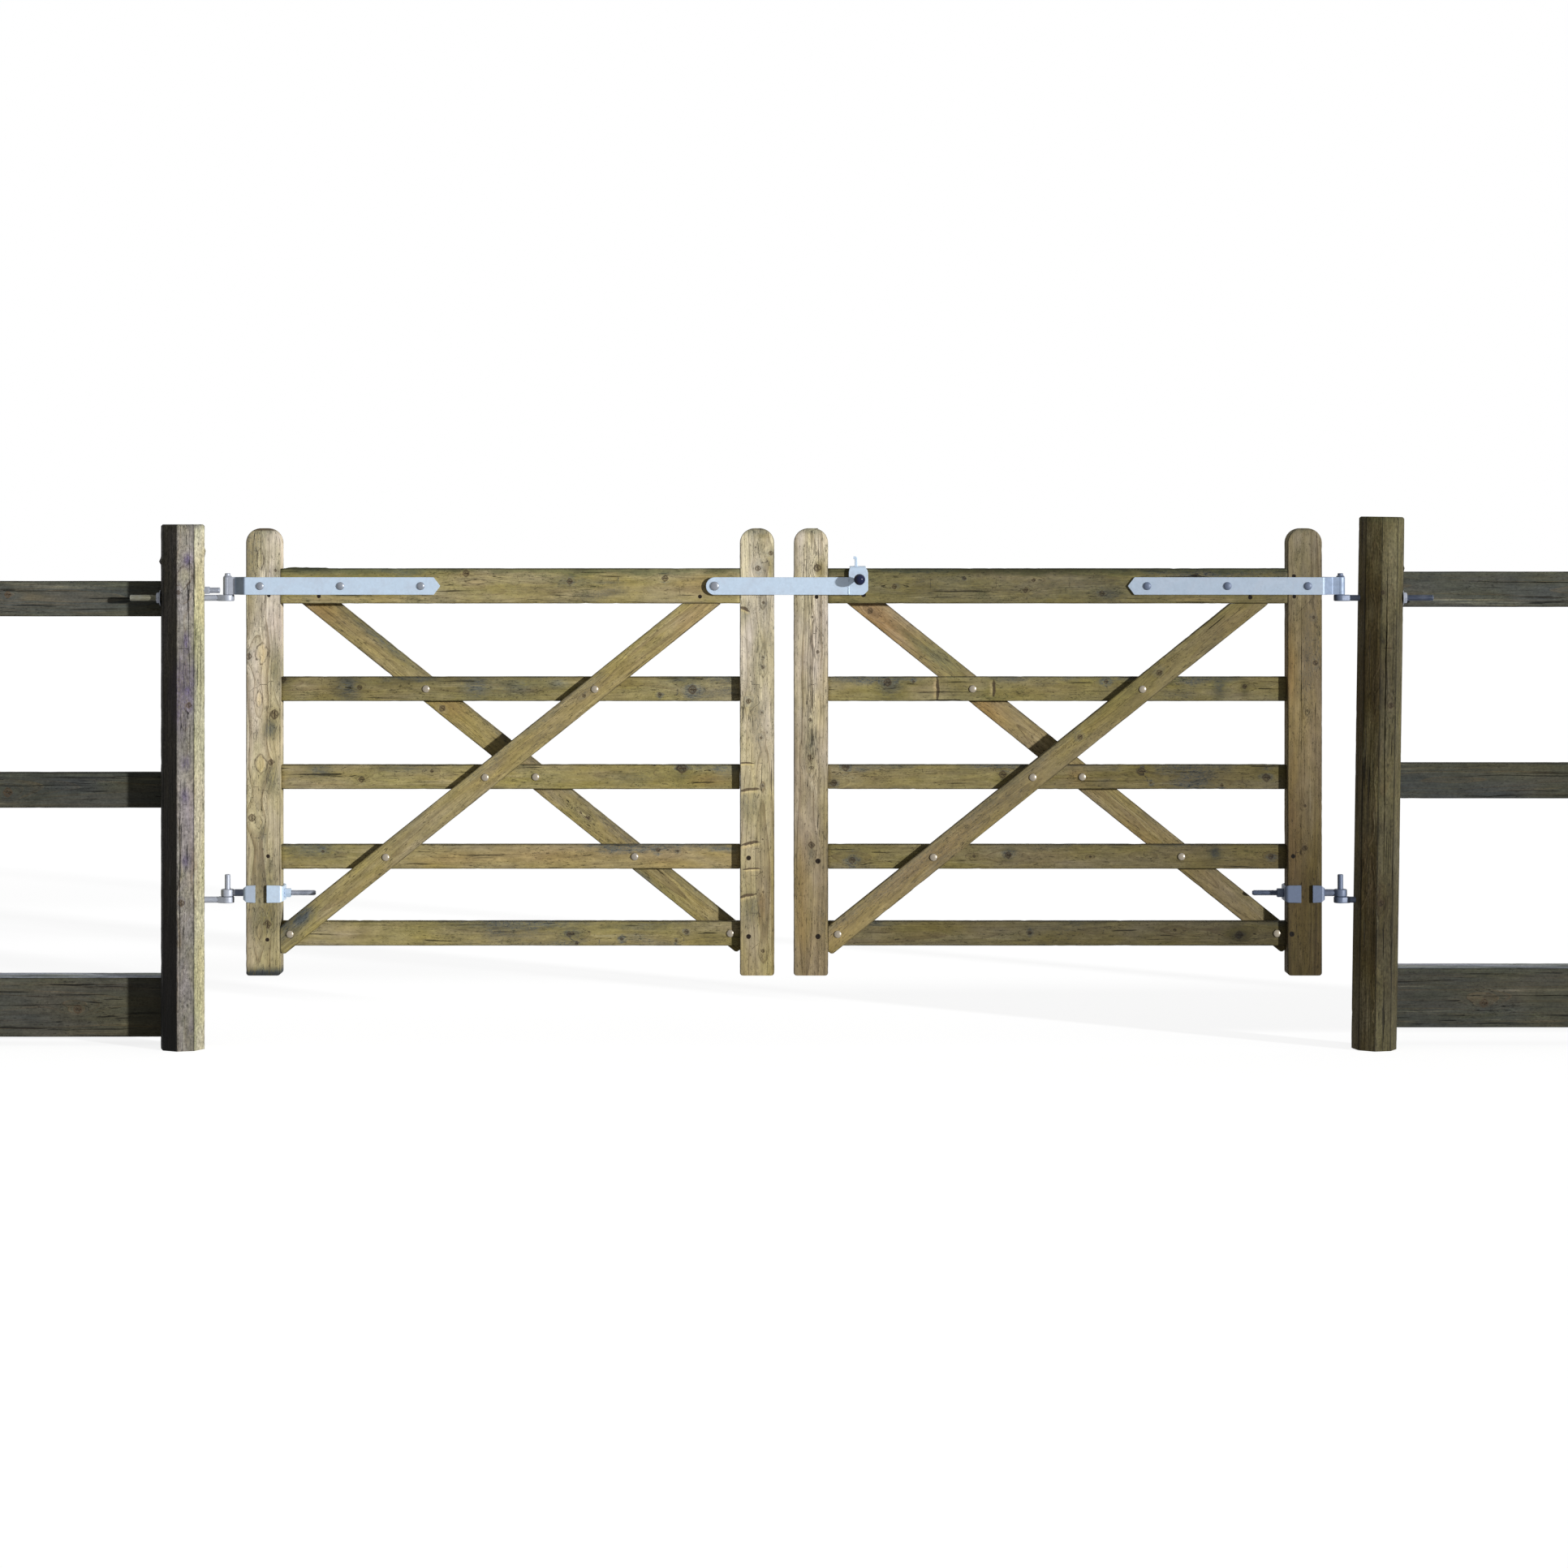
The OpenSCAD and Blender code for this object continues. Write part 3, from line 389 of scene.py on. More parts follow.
def weather_group():
    """Colours the grain: Stain is how olive, how warm and how dark; Edge is how far from an arris,
    how far below the top, and whether the end grain shows"""
    n, g = new_group(
        "Weathered timber", Grime=0.5, Contrast=0.5, Depth=1.0,
        **dict.fromkeys(("Pale", "Olive", "Warm", "Moss", "Mildew", "Late", "Knot", "Bark"), BLACK),
        **dict.fromkeys(("Grain", "Stain", "Edge"), Vector()),
        **dict.fromkeys(("Growth", "Mildewed", "Crinkle", "Line", "Lip", "Rings", "Fibre", "Streak", "Blotch",
                         "Check", "Knot_core", "Knot_rim", "Halo", "Furrow", "Crest"), 0.0))
    olive, warm, dark = n.split(g.Stain)
    arris, below, sawn = n.split(g.Edge)
    patch = g.Blotch - 0.5
    fleck = n.fibres(g.Grain, 60.0, 260.0, 3.0, 0.65, shift=21.0)
    speck = n.fibres(g.Grain, 240.0, 420.0, 2.0, 0.6, shift=25.0)
    cloud = n.fibres(g.Grain, 9.0, 28.0, 5.0, 0.7, shift=23.0)
    drift = n.fibres(g.Grain, 2.6, 9.0, 3.0, 0.55, shift=27.0)
    mottle = n.fibres(g.Grain, 24.0, 75.0, 4.0, 0.62, shift=33.0)
    crinkle = n.fibres(g.Grain, 120.0, 160.0, 2.0, 0.55, shift=35.0)

    # Olive and warm stain drift along the timber; late wood draws thin lines through both
    body = n.mix((patch * 1.1).plus(olive), g.Pale, g.Olive)
    body = n.mix(((drift - 0.5) * 2.6).plus(warm), body, g.Warm)
    body = n.mix(g.Rings * g.Contrast * g.Streak.ramp(0.3, 0.6, 0.25, 1.0), body, g.Late)
    # Pale streaks on the raised fibres and pale crests of ridged grain: partly faded wood, partly painted
    # highlight where raised grain catches the light
    pale_streak_highlight = g.Streak.ramp(0.55, 0.75, 0.0, 0.22) * g.Fibre.ramp(0.45, 0.62)
    body = n.mix(pale_streak_highlight.top(g.Crest * 0.5), body, (0.74, 0.67, 0.45))
    body = n.mix(g.Lip * 0.75, body, g.Bark)
    blue = n.fibres(g.Grain, 4.0, 15.0, 3.0, shift=37.0).ramp(0.3, 0.7, 0.86, 1.12)
    body = n.shaded(body, drift.ramp(0.3, 0.7, 1.06, 0.95), 1.0, blue)

    shade = patch * 0.65 + ((g.Fibre - 0.5) * g.Depth + 1.06)
    shade = shade * ((mottle - 0.5) * 1.25 + 1.0)
    shade = shade * ((crinkle - 0.5) * g.Crinkle * 1.8 + 1.0)
    shade = shade * (1.0 - dark)

    # Mildew stains blue-grey round knots and along upper edges; algae hangs below them and dries in spots
    below = (cloud - 0.5) * 0.07 + below
    damp = drift + below.ramp(0.030, 0.0) * 0.12 + g.Halo * 0.16
    damp = damp.ramp(0.54, 0.70) * g.Grime * (speck + fleck).ramp(0.75, 1.20, 0.25, 1.0)
    bloom = g.Mildewed.math("MULTIPLY", (cloud + fleck).ramp(0.78, 1.08, 0.25, 1.0), clamp=True)
    body = n.mix(damp.top(bloom), body, g.Mildew)
    film = below.ramp(0.022, 0.004) * g.Growth * 0.75
    spots = (g.Growth * 0.05 + cloud - arris * 1.2).ramp(0.56, 0.72, 0.0, 0.5) * g.Grime
    body = n.mix(film.top(spots), body, g.Moss)

    # Dirt in the pores; painted shade as a dark line along each arris; the furrows of ridged grain darker, partly
    # dirt and partly painted shade; end grain at the top
    worn = ((cloud - 0.5) * 0.008 + arris).ramp(0.0045, 0.0, 0.0, 0.75)
    pores = (cloud * 0.25 + fleck).ramp(0.69, 0.79, 0.0, 0.6)
    dots = (cloud * 0.35 + speck).ramp(0.79, 0.87, 0.0, 0.65)
    for hidden in (worn, pores, dots, g.Check * 0.75, g.Furrow * 0.5):
        shade = shade * (1.0 - hidden)
    for share in (sawn.ramp(0.0, 1.0, 0.0, 0.85), g.Knot_core, g.Knot_rim * 0.75, g.Line * 0.85):
        body = n.mix(share, body, g.Knot)
    close_group(n, Color=n.shaded(body, shade), Roughness=(g.Fibre * 0.25).plus(0.68))


def zinc_group():
    """Crystals, drips and dull patches of hot-dip zinc, in metres on the piece itself"""
    n, g = new_group("Hot-dip zinc", Place=Vector(), Bright=BLACK, Stained=BLACK, Age=0.3)
    tone = n.add("RGBToBW", n.add("TexVoronoi", out="Color", Vector=g.Place, Scale=160.0))
    cloud = n.noise(g.Place, 3.0, 0.6, 22.0)
    speck = n.noise(g.Place, 2.0, 0.6, 210.0, 4.0)
    drip = n.noise(n.scaled(g.Place, (90.0, 90.0, 14.0)), shift=2.0)
    dull = cloud.ramp(0.42, 0.72) * g.Age
    dull = dull.top(drip.ramp(0.6, 0.8) * g.Age).top(speck.ramp(0.68, 0.78) * 0.5)
    light = (tone * 0.09 + 0.955) * (cloud * 0.14 + 0.93)
    close_group(n, Color=n.shaded(n.mix(dull, g.Bright, g.Stained), light),
                Roughness=dull * 0.25 + (tone * 0.1 + 0.42), Height=speck * 0.5 + cloud)


def empty_tree(owner):
    owner.use_nodes = True
    owner.node_tree.nodes.clear()
    return Nodes(owner.node_tree)


def new_material(name):
    """Material with one plain shader: its nodes, and the shader's inputs"""
    nodes = empty_tree(bpy.data.materials.new(name))
    shader = nodes.tree.nodes.new("ShaderNodeBsdfPrincipled")
    nodes.end("Material", Value(nodes, shader.outputs[0]))
    return nodes, shader.inputs


FIELDS = ("grain", "knot", "stain", "edge", "scar", "growth")  # what a timber's mesh tells its material


def timber_material(name, colours, ring, curl, contrast, depth, checks, grime, crinkle, relief):
    """Timber that reads its grain, knots, stain and edges from the piece it is on. colours are pale,
    olive, warm, mildew and the lip of a scar"""
    t = timber()
    pale, olive, warm, mildew, lip = colours
    n, shader = new_material(name)
    grain, knot, stain, edge, scar, growth = [
        n.add("Attribute", out="Vector", settings={"attribute_name": field}) for field in FIELDS]
    moss, mildewed, ridged = n.split(growth)
    marks = n.place("Softwood grain", Grain=grain, Knot=knot, Ring_width=ring, Checks=checks, Curl=curl,
                    Ridged=ridged)
    marks.update(n.place("Branch scars", Scar=scar, Grain=grain))
    height = marks.pop("Height")
    face = n.place(
        "Weathered timber", Pale=pale, Olive=olive, Warm=warm, Mildew=mildew, Bark=lip, Moss=t.moss, Late=t.late,
        Knot=t.knot, Grain=grain, Stain=stain, Edge=edge, Growth=moss, Mildewed=mildewed, Grime=grime,
        Contrast=contrast, Depth=depth, Crinkle=crinkle, **marks)
    n.feed(shader, Base_Color=face["Color"], Roughness=face["Roughness"], Specular_IOR_Level=0.18,
           Normal=n.bump(height, 1.0, relief))


def zinc_material(name, bright, stained, age, metallic=0.25, gloss=1.0):
    n, shader = new_material(name)
    coat = n.place("Hot-dip zinc", Place=n.add("TexCoord", out="Object"), Bright=bright, Stained=stained, Age=age)
    n.feed(shader, Base_Color=coat["Color"], Roughness=coat["Roughness"] * gloss, Metallic=metallic,
           Normal=n.bump(coat["Height"], 0.6, 0.4 * MM))


def ball_material(name, tone):
    """Moulded gloss ball, a little scuffed"""
    n, shader = new_material(name)
    ball = n.add("TexCoord", out="Object")
    cloud = n.noise(ball, 3.0, 0.6, 60.0)
    worn = n.noise(ball, 4.0, 0.7, 420.0, 2.0).ramp(0.58, 0.72) * cloud.ramp(0.4, 0.7)
    pale = tuple(min(1.0, c * 2.6 + 0.01) for c in tone)
    n.feed(shader, Base_Color=n.mix(worn, tone, pale), Roughness=worn * 0.35 + (cloud * 0.10 + 0.16),
           Specular_IOR_Level=0.12, Coat_Weight=0.06, Coat_Roughness=0.12, Normal=n.bump(cloud, 0.3, 0.2 * MM))


class GATE_OT_finishes(bpy.types.Operator):
    """Makes the node groups and materials that the pieces share"""
    bl_idname = "gate.finishes"
    bl_label = "Finishes"

    def execute(self, context):
        for group in (grain_group, scar_group, weather_group, zinc_group):
            group()
        t, m = timber(), steel()
        leaf = (t.pale, t.olive, t.warm, t.mildew, t.scar)
        board = {"ring": 6.0 * MM, "curl": 0.020, "crinkle": 0.3, "relief": 1.2 * MM}
        post = {"ring": 5.0 * MM, "curl": 0.060, "contrast": 0.50, "depth": 1.1, "checks": 1.0,
                "relief": 2.4 * MM}
        timber_material("stile_softwood", leaf, ring=9.5 * MM, curl=0.016, contrast=0.75, depth=0.9, checks=0.6,
                        grime=0.55, crinkle=0.15, relief=1.2 * MM)
        timber_material("rail_softwood", leaf, contrast=0.50, depth=1.0, checks=0.75, grime=1.0, **board)
        timber_material("brace_softwood", leaf, contrast=0.55, depth=1.1, checks=0.5, grime=0.45, **board)
        timber_material("post_softwood", (t.post_pale, t.post_grey, t.post_brown, t.violet, t.post_olive),
                        grime=0.7, crinkle=1.0, **post)
        timber_material("brown_softwood", (t.post_pale, t.post_olive, t.post_brown, t.knot, t.post_olive),
                        grime=0.5, crinkle=0.8, **post)
        timber_material("fence_softwood", (t.lichen, t.fence, t.fence_blue, t.fence_blue, t.fence), ring=7.0 * MM,
                        curl=0.020, contrast=0.4, depth=1.3, checks=1.0, grime=0.7, crinkle=0.5, relief=1.8 * MM)
        for name, bright, stained, *wear in (
                ("strap", m.zinc, m.dull_zinc, 0.35), ("dull_strap", m.dull_strap, m.dull_zinc, 0.35),
                ("hook", m.dull_zinc, m.dark_zinc, 0.5), ("thread", m.dark_zinc, m.dull_zinc, 0.3),
                ("pale_tail", m.pale_tail, m.dull_zinc, 0.3), ("shaded", m.shaded, m.dark_zinc, 0.35),
                ("head", m.head, m.dull_zinc, 0.4, 0.35, 0.7), ("slate", m.slate, m.dark_zinc, 0.35, 0.15),
                ("brown_head", m.brown_head, m.dark_zinc, 0.25, 0.5, 0.65)):
            zinc_material(name + "_zinc", bright, stained, *wear)
        ball_material("knob_gloss", m.knob)
        return {"FINISHED"}


# ---------- timber ----------

FAR = 9.0  # offset, in knot radii or half scars, that stands for none near
NO_MARK = 1e9  # distance that stands for no knot or scar yet
TOUCH = 1e-4  # how far a solid's points may lie from the level that they are looked for at
SLIT = 1e-4  # half width of a crack where it is closed
CRACK_ROOM = 0.005  # columns of points nearer to a crack than this make way for it
SAW = 1.2 * MM  # bevel that the saw leaves round a board's ends
CROWN = 0.008  # how far down a stile's worn crown reaches, and how deep it is
HALF_CORNER = math.radians(22.5)  # half the angle that an octagon turns at a corner
ARRIS_REACH = 0.003  # how far from an arris its chips bite
CHIPS, CHIPPED = 0.017, 0.11  # spacing of chips along an arris, and of the stretches that have them
UNEVEN, UNEVEN_DEPTH = 0.14, 0.00022  # spacing and depth of the hollows left in a sawn face
WAVES, RIPPLES = 0.045, 0.013  # spacing of the waves and ripples along an edge
NUB_REACH = 0.007  # half length of a twig stub or a tuft of moss
SCAR_REACH = 0.026  # how far past its half sizes a scar's offset still counts
KNOT_REACH = 6.0  # the same for a knot, in knot radii, unless another is near
RIDGED_WIDTH, RIDGED_FADE = 0.021, 0.05  # half width of a ridged stretch, and how it fades at its ends


def smooth_line(rng, along, spacing, size):
    """Smooth random values at the stations, between -size and size"""
    x = (along - along.min()) / spacing
    values = rng.uniform(-size, size, int(x.max()) + 3)
    i = x.astype(int)
    f = x - i
    f = f * f * (3 - 2 * f)
    return values[i] * (1 - f) + values[i + 1] * f


def front_half(width, depth, cut, worn, gap, cracks):
    """Front half of a timber's section, from the middle of its left side to the middle of its right:
    rows of across, into, outward across, outward into, crack number, side of the crack.
    cut is the bevel of an octagonal post"""
    w, h = width / 2, depth / 2
    corners = [(-w, cut), (cut - w, 0), (w - cut, 0), (w, cut)] if cut else [(-w, 0), (w, 0)]
    path = [Vector(p) for p in [(-w, h), *corners, (w, h)]]
    rows = []
    for k, (a, b) in enumerate(zip(path, path[1:])):
        d = (b - a).normalized()
        out = (d.y, -d.x)
        long = (b - a).length
        first, last = k == 0, k == len(path) - 2
        low, high = 0 if first else worn, long if last else long - worn
        n = max(1, round((high - low) / gap))
        halves = (np.arange(n + 1) + 0.5) * (high - low) / (n + 0.5)
        at = halves if first else long - halves[::-1] if last else np.linspace(low, high, n + 1)
        columns = [(x, -1, 0) for x in at]
        if abs(out[1] + 1) < 1e-6:
            for c, crack in enumerate(cracks):
                x = crack[0] - a.x
                columns = [col for col in columns if abs(col[0] - x) > CRACK_ROOM or col[1] >= 0]
                columns += [(x + side * SLIT, c, side) for side in (-1, 0, 1)]
            columns.sort()
        rows += [(*(a + d * x), *out, c, side) for x, c, side in columns]
        if not last:
            e = (path[k + 2] - b).normalized()
            for t in (1 / 3, 2 / 3):
                p = b - d * worn * (1 - t) ** 2 + e * worn * t ** 2
                n2 = Vector((out[0] * (1 - t) + e.y * t, out[1] * (1 - t) - e.x * t)).normalized()
                rows.append((*p, *n2, -1, 0))
    return np.array(rows)


def straight(length, pitch):
    """Stations of a board sawn square: along, inset across, inset into"""
    ends = [(0, SAW, SAW), (SAW, 0, 0)]
    middle = [(s, 0, 0) for s in np.linspace(0, length, round(length / pitch) + 1)[1:-1]]
    return np.array(ends + middle + [(length - SAW, 0, 0), (length, SAW, SAW)])


def rounded(length, pitch, radius, ease):
    """Stations of a stile: eased at the foot, round over its top, with a worn crown"""
    turn = np.radians(np.linspace(0, 90, 5))
    foot = [(ease - ease * np.cos(a), ease - ease * np.sin(a), 0) for a in turn]
    middle = [(s, 0, 0) for s in np.linspace(ease, length - radius, round(length / pitch))[1:]]
    turn = np.radians(np.linspace(0, 90, 13)[1:])
    top = [(length - radius + radius * np.sin(a), radius - radius * np.cos(a), 0) for a in turn]
    rows = np.array(foot + middle + top)
    crown = np.clip((rows[:, 0] - length + CROWN) / CROWN, 0, 1)
    rows[:, 2] = CROWN * crown ** 1.6
    return rows


def bevelled(length, pitch, bevel):
    """Stations of a post: cut square at the ground and bevelled round its top"""
    middle = [(s, 0, 0) for s in np.linspace(0, length - bevel, round(length / pitch))]
    return np.array(middle + [(length - bevel * 0.4, bevel * 0.5, bevel * 0.5), (length, bevel, bevel)])


def mark_nearest(field, best, distance, near, x, y, kind, tilt=0.0):
    """Writes the offset from a knot or scar, and its kind, on the points that have no nearer one yet.
    Where it isn't near, only the offset's signs are kept"""
    here = distance < best
    best[here] = distance[here]
    kinds = np.full_like(x, kind)
    field[here] = np.stack([np.copysign(FAR, x), np.copysign(FAR, y), kinds], -1)[here]
    field[here & near] = np.stack([x + tilt * y, y, kinds], -1)[here & near]


def sweep(place, section, rows, look, seed, start=None, end=None):
    """Timber along a line. place is its foot and its along, across and into directions; section is
    width, depth, bevel and cracks; rows are stations; look holds stain, knots, scars, patches and growth"""
    base, run, up, back = [np.array(p) for p in place]
    width, depth, cut, cracks = section
    rng = np.random.default_rng(seed)
    worn = timber().arris
    half = front_half(width, depth, cut, worn, look.get("gap", 0.009), cracks)
    mirror = half[::-1] * (1, -1, 1, -1, 0, 0) + (0, depth, 0, 0, -1, 0)
    ring = np.vstack([half, mirror])
    n = len(ring)
    along = rows[:, 0]
    long = along[-1]
    s = np.repeat(rows[:, :1], n, 1)
    v = ring[None, :, 0] * (1 - rows[:, 1:2] / (width / 2))
    w = depth / 2 + (ring[None, :, 1] - depth / 2) * (1 - rows[:, 2:3] / (depth / 2))

    # Chips along the arrises and a little unevenness on the faces
    corners = [(x * width / 2, y) for x in (-1, 1) for y in (0, depth)]
    if cut:
        inner = width / 2 - cut
        corners = [(x * width / 2, y) for x in (-1, 1) for y in (cut, depth - cut)]
        corners += [(x * inner, y) for x in (-1, 1) for y in (0, depth)]
    away = np.array([np.hypot(ring[:, 0] - c[0], ring[:, 1] - c[1]) for c in corners])
    near = away.min(0)
    ragged = timber().ragged * look.get("ragged", 1.0)
    chips = np.array([
        np.clip(smooth_line(rng, along, CHIPS, 1.0), 0, 1) ** 2
        * np.clip(0.35 + smooth_line(rng, along, CHIPPED, 1.0), 0.08, 1) for _ in corners])
    inward = chips[away.argmin(0)].T * ragged * np.exp(-(near / ARRIS_REACH) ** 2)
    faces = np.array([smooth_line(rng, along, UNEVEN, UNEVEN_DEPTH) for _ in range(n // 6 + 2)])
    inward = inward + faces[np.arange(n) // 6].T
    wave = look.get("wave", 0.0)
    for side in (-1, 1):
        line = smooth_line(rng, along, WAVES, wave) + smooth_line(rng, along, RIPPLES, wave * 0.4)
        inward[:, ring[:, 2] * side > 0.9] += np.abs(line)[:, None]
    for at, side, high in look.get("nubs", []):
        bump = high * MM * np.exp(-((along - at * MM) / NUB_REACH) ** 2)
        inward[:, ring[:, 2] * side > 0.9] -= bump[:, None]
    v = v - ring[None, :, 2] * inward
    w = w - ring[None, :, 3] * inward

    for c, (at, s0, s1, wide, deep) in enumerate(cracks):
        f = np.clip((along - s0) / (s1 - s0), 0, 1)
        f = np.sqrt(np.clip(np.sin(np.pi * f), 0, 1)) * (1 + smooth_line(rng, along, spacing=0.03, size=0.35))
        drift = smooth_line(rng, along, spacing=0.12, size=0.0022)
        drift = drift + smooth_line(rng, along, spacing=0.03, size=0.0006)
        for k in np.flatnonzero(ring[:, 4] == c):
            side = ring[k, 5]
            v[:, k] = at + drift + side * (SLIT + f * wide / 2)
            w[:, k] += f * deep * (1 - abs(side))

    grain = np.stack([s, v, w], -1)
    if start is not None:
        t = s / long
        s = start(v) * (1 - t) + end(v) * t
    points = base + s[..., None] * run + v[..., None] * up + w[..., None] * back

    knot = np.full((*s.shape, 3), (FAR, FAR, 0.01))
    best = np.full_like(s, NO_MARK)
    knots = np.array(look.get("knots", []), float).reshape(-1, 3) * MM
    for a, (ks, kv, kr) in enumerate(knots):
        others = [math.hypot(ks - x, kv - y) for b, (x, y, _) in enumerate(knots) if b != a]
        r = abs(kr)
        reach = min([KNOT_REACH] + [0.45 * d / r for d in others])
        x, y = (s - ks) / r, (v - kv) / r
        d = np.hypot(x, y)
        mark_nearest(knot, best, d * r, d < reach, x, y, kr)
        if kr > 0:
            grain[..., 2] += 1.3 * kr * np.exp(-(x / 5) ** 2 - (y / 2.5) ** 2)

    scar = np.full((*s.shape, 3), (FAR, FAR, 1.0))
    best = np.full_like(s, NO_MARK)
    for *lengths, kind, tilt in look.get("scars", []):
        at, on, a, b = np.array(lengths) * MM
        x, y = (s - at) / a, (v - on) / b
        near_it = (np.abs(s - at) < a + SCAR_REACH) & (np.abs(v - on) < b + SCAR_REACH)
        mark_nearest(scar, best, np.hypot(s - at, v - on), near_it, x, y, kind, tilt)
        if kind == 2:
            grain[..., 2] += 0.014 * np.exp(-(x / 2.4) ** 2 - (y / 2.2) ** 2)

    first, second = np.array(look["stain"])
    f = (along / long)[:, None, None]
    stain = np.broadcast_to(first * (1 - f) + second * f, (*s.shape, 3)).copy()
    # Stain face by face: on the posts this is painted light and shade, set by which way each face turns to the
    # sun
    if "faces" in look:
        side = np.where(ring[:, 2] < -0.3, 0, np.where(ring[:, 2] > 0.3, 2, 1))
        stain += np.array(look["faces"])[side][None]
    mildewed = np.zeros_like(s)
    for row in look.get("patches", []):
        at, on, tall, wide = np.array(row[:4]) * MM
        f = np.exp(-((s - at) / tall) ** 2 - ((v - on) / wide) ** 2)
        stain += f[..., None] * np.array(row[4:7])
        mildewed += f * row[7]
    # Upper faces made pale: partly faded timber, partly painted sky light
    if "bare_top" in look:
        stain[:, ring[:, 2] > 0.7, 0] = look["bare_top"]
    below = long - s if look.get("upright") else width / 2 - v
    edge = np.stack([np.broadcast_to(near, s.shape), below, np.zeros_like(s)], -1)
    crown = np.clip((along - long + 0.010) / 0.006, 0, 1) * look.get("crown", 0.0)
    edge[..., 2] = crown[:, None]

    middle, first, last, strength = look.get("ridged", (0.0, 0.0, 0.0, 0.0))
    past = np.maximum(0, np.maximum(first - s, s - last) / RIDGED_FADE)
    ridged = strength * np.exp(-((v - middle) / RIDGED_WIDTH) ** 2) * np.exp(-past ** 2)

    pith = look.get("pith", (0.0, 0.045))
    grain = grain - (-seed * 3.1, pith[0], pith[1])
    m = len(rows)
    grid = np.arange(m * n).reshape(m, n)
    a, b = grid[:-1], grid[1:]
    quads = np.stack([a, np.roll(a, -1, 1), np.roll(b, -1, 1), b], -1).reshape(-1, 4)
    pick = np.concatenate([grid.ravel(), grid[0], grid[-1]])
    k = np.arange(n // 2 - 1)
    caps = np.stack([k, k + 1, n - 2 - k, n - 1 - k], -1)
    quads = np.vstack([quads, m * n + caps[:, ::-1], m * n + n + caps])
    if np.dot(np.cross(up, run), back) > 0:
        quads = quads[:, ::-1]
    fields = {
        "points": points, "grain": grain, "knot": knot, "stain": stain, "edge": edge, "scar": scar,
        "growth": np.stack([np.full_like(s, look.get("moss", 0.0)), mildewed, ridged], -1),
    }
    part = {key: values.reshape(-1, 3)[pick] for key, values in fields.items()}
    part["edge"][m * n:, 2] = look.get("end", 0.5)
    return {**part, "quads": quads}


def timber_object(name, parts, material, *nodes):
    """One object from swept timbers, standing for CAD nodes"""
    shift = np.cumsum([0] + [len(p["points"]) for p in parts])
    points = np.vstack([p["points"] for p in parts])
    quads = np.vstack([p["quads"] + k for p, k in zip(parts, shift)])
    mesh = bpy.data.meshes.new(name)
    mesh.from_pydata(points.tolist(), [], quads.tolist())
    for key in FIELDS:
        values = np.vstack([p[key] for p in parts])
        mesh.attributes.new(key, "FLOAT_VECTOR", "POINT").data.foreach_set("vector", values.ravel())
    mesh.shade_smooth()
    mesh.set_sharp_from_angle(angle=SHARP)
    mesh.materials.append(bpy.data.materials[material])
    settle(name, mesh, *nodes)


def solid_points(node):
    """Points of a CAD node"""
    return np.array([v.co for v in frame["nodes"][node].data.vertices])


def settle(name, mesh, *nodes, body=None, slot=None):
    """Puts a mesh in the scene, riding with the nodes that it stands for or with a body"""
    piece = bpy.data.objects.new(name, mesh)
    bpy.context.scene.collection.objects.link(piece)
    if nodes:
        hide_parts(*nodes)
    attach(piece, body or BODY[nodes[0]])
    return piece


X, Y, Z = Vector((1, 0, 0)), Vector((0, 1, 0)), Vector((0, 0, 1))
LEAVES = ("left", "right")

# Stain of each timber at its foot or left end, and at its other end: how olive, how warm, how dark
STAINS = {
    "left_hanging_stile": ((0.55, 0.14, 0.02), (0.06, 0.02, -0.22)),
    "left_shutting_stile": ((0.75, 0.25, 0.02), (-0.05, 0.0, -0.30)),
    "right_shutting_stile": ((0.55, 0.50, 0.28), (0.05, 0.05, -0.12)),
    "right_hanging_stile": ((1.0, 0.70, 0.80), (0.45, 0.32, 0.42)),
    "left_top_rail": ((0.90, 0.05, 0.0), (0.80, 0.15, -0.02)),
    "left_second_rail": ((0.95, 0.0, 0.30), (0.85, 0.0, 0.04)),
    "left_third_rail": ((0.85, 0.0, 0.05), (0.90, 0.0, 0.08)),
    "left_fourth_rail": ((0.90, 0.10, 0.08), (0.75, 0.40, -0.02)),
    "left_bottom_rail": ((0.85, 0.05, 0.12), (0.90, 0.15, 0.12)),
    "right_top_rail": ((0.85, 0.0, 0.32), (0.95, 0.0, 0.48)),
    "right_second_rail": ((0.85, 0.0, 0.16), (0.90, 0.0, 0.42)),
    "right_third_rail": ((0.85, 0.15, 0.12), (0.95, 0.15, 0.56)),
    "right_fourth_rail": ((0.85, 0.10, 0.32), (0.95, 0.25, 0.58)),
    "right_bottom_rail": ((0.80, 0.05, 0.50), (0.85, 0.15, 0.73)),
    "left_front_brace": ((0.90, 0.25, 0.02), (0.85, 0.30, -0.12)),
    "left_back_brace": ((0.95, 0.25, 0.0), (0.85, 0.30, -0.04)),
    "right_front_brace": ((0.90, 0.45, 0.06), (0.95, 0.15, 0.32)),
    "right_back_brace": ((0.90, 0.40, 0.42), (0.75, 0.55, -0.10)),
}

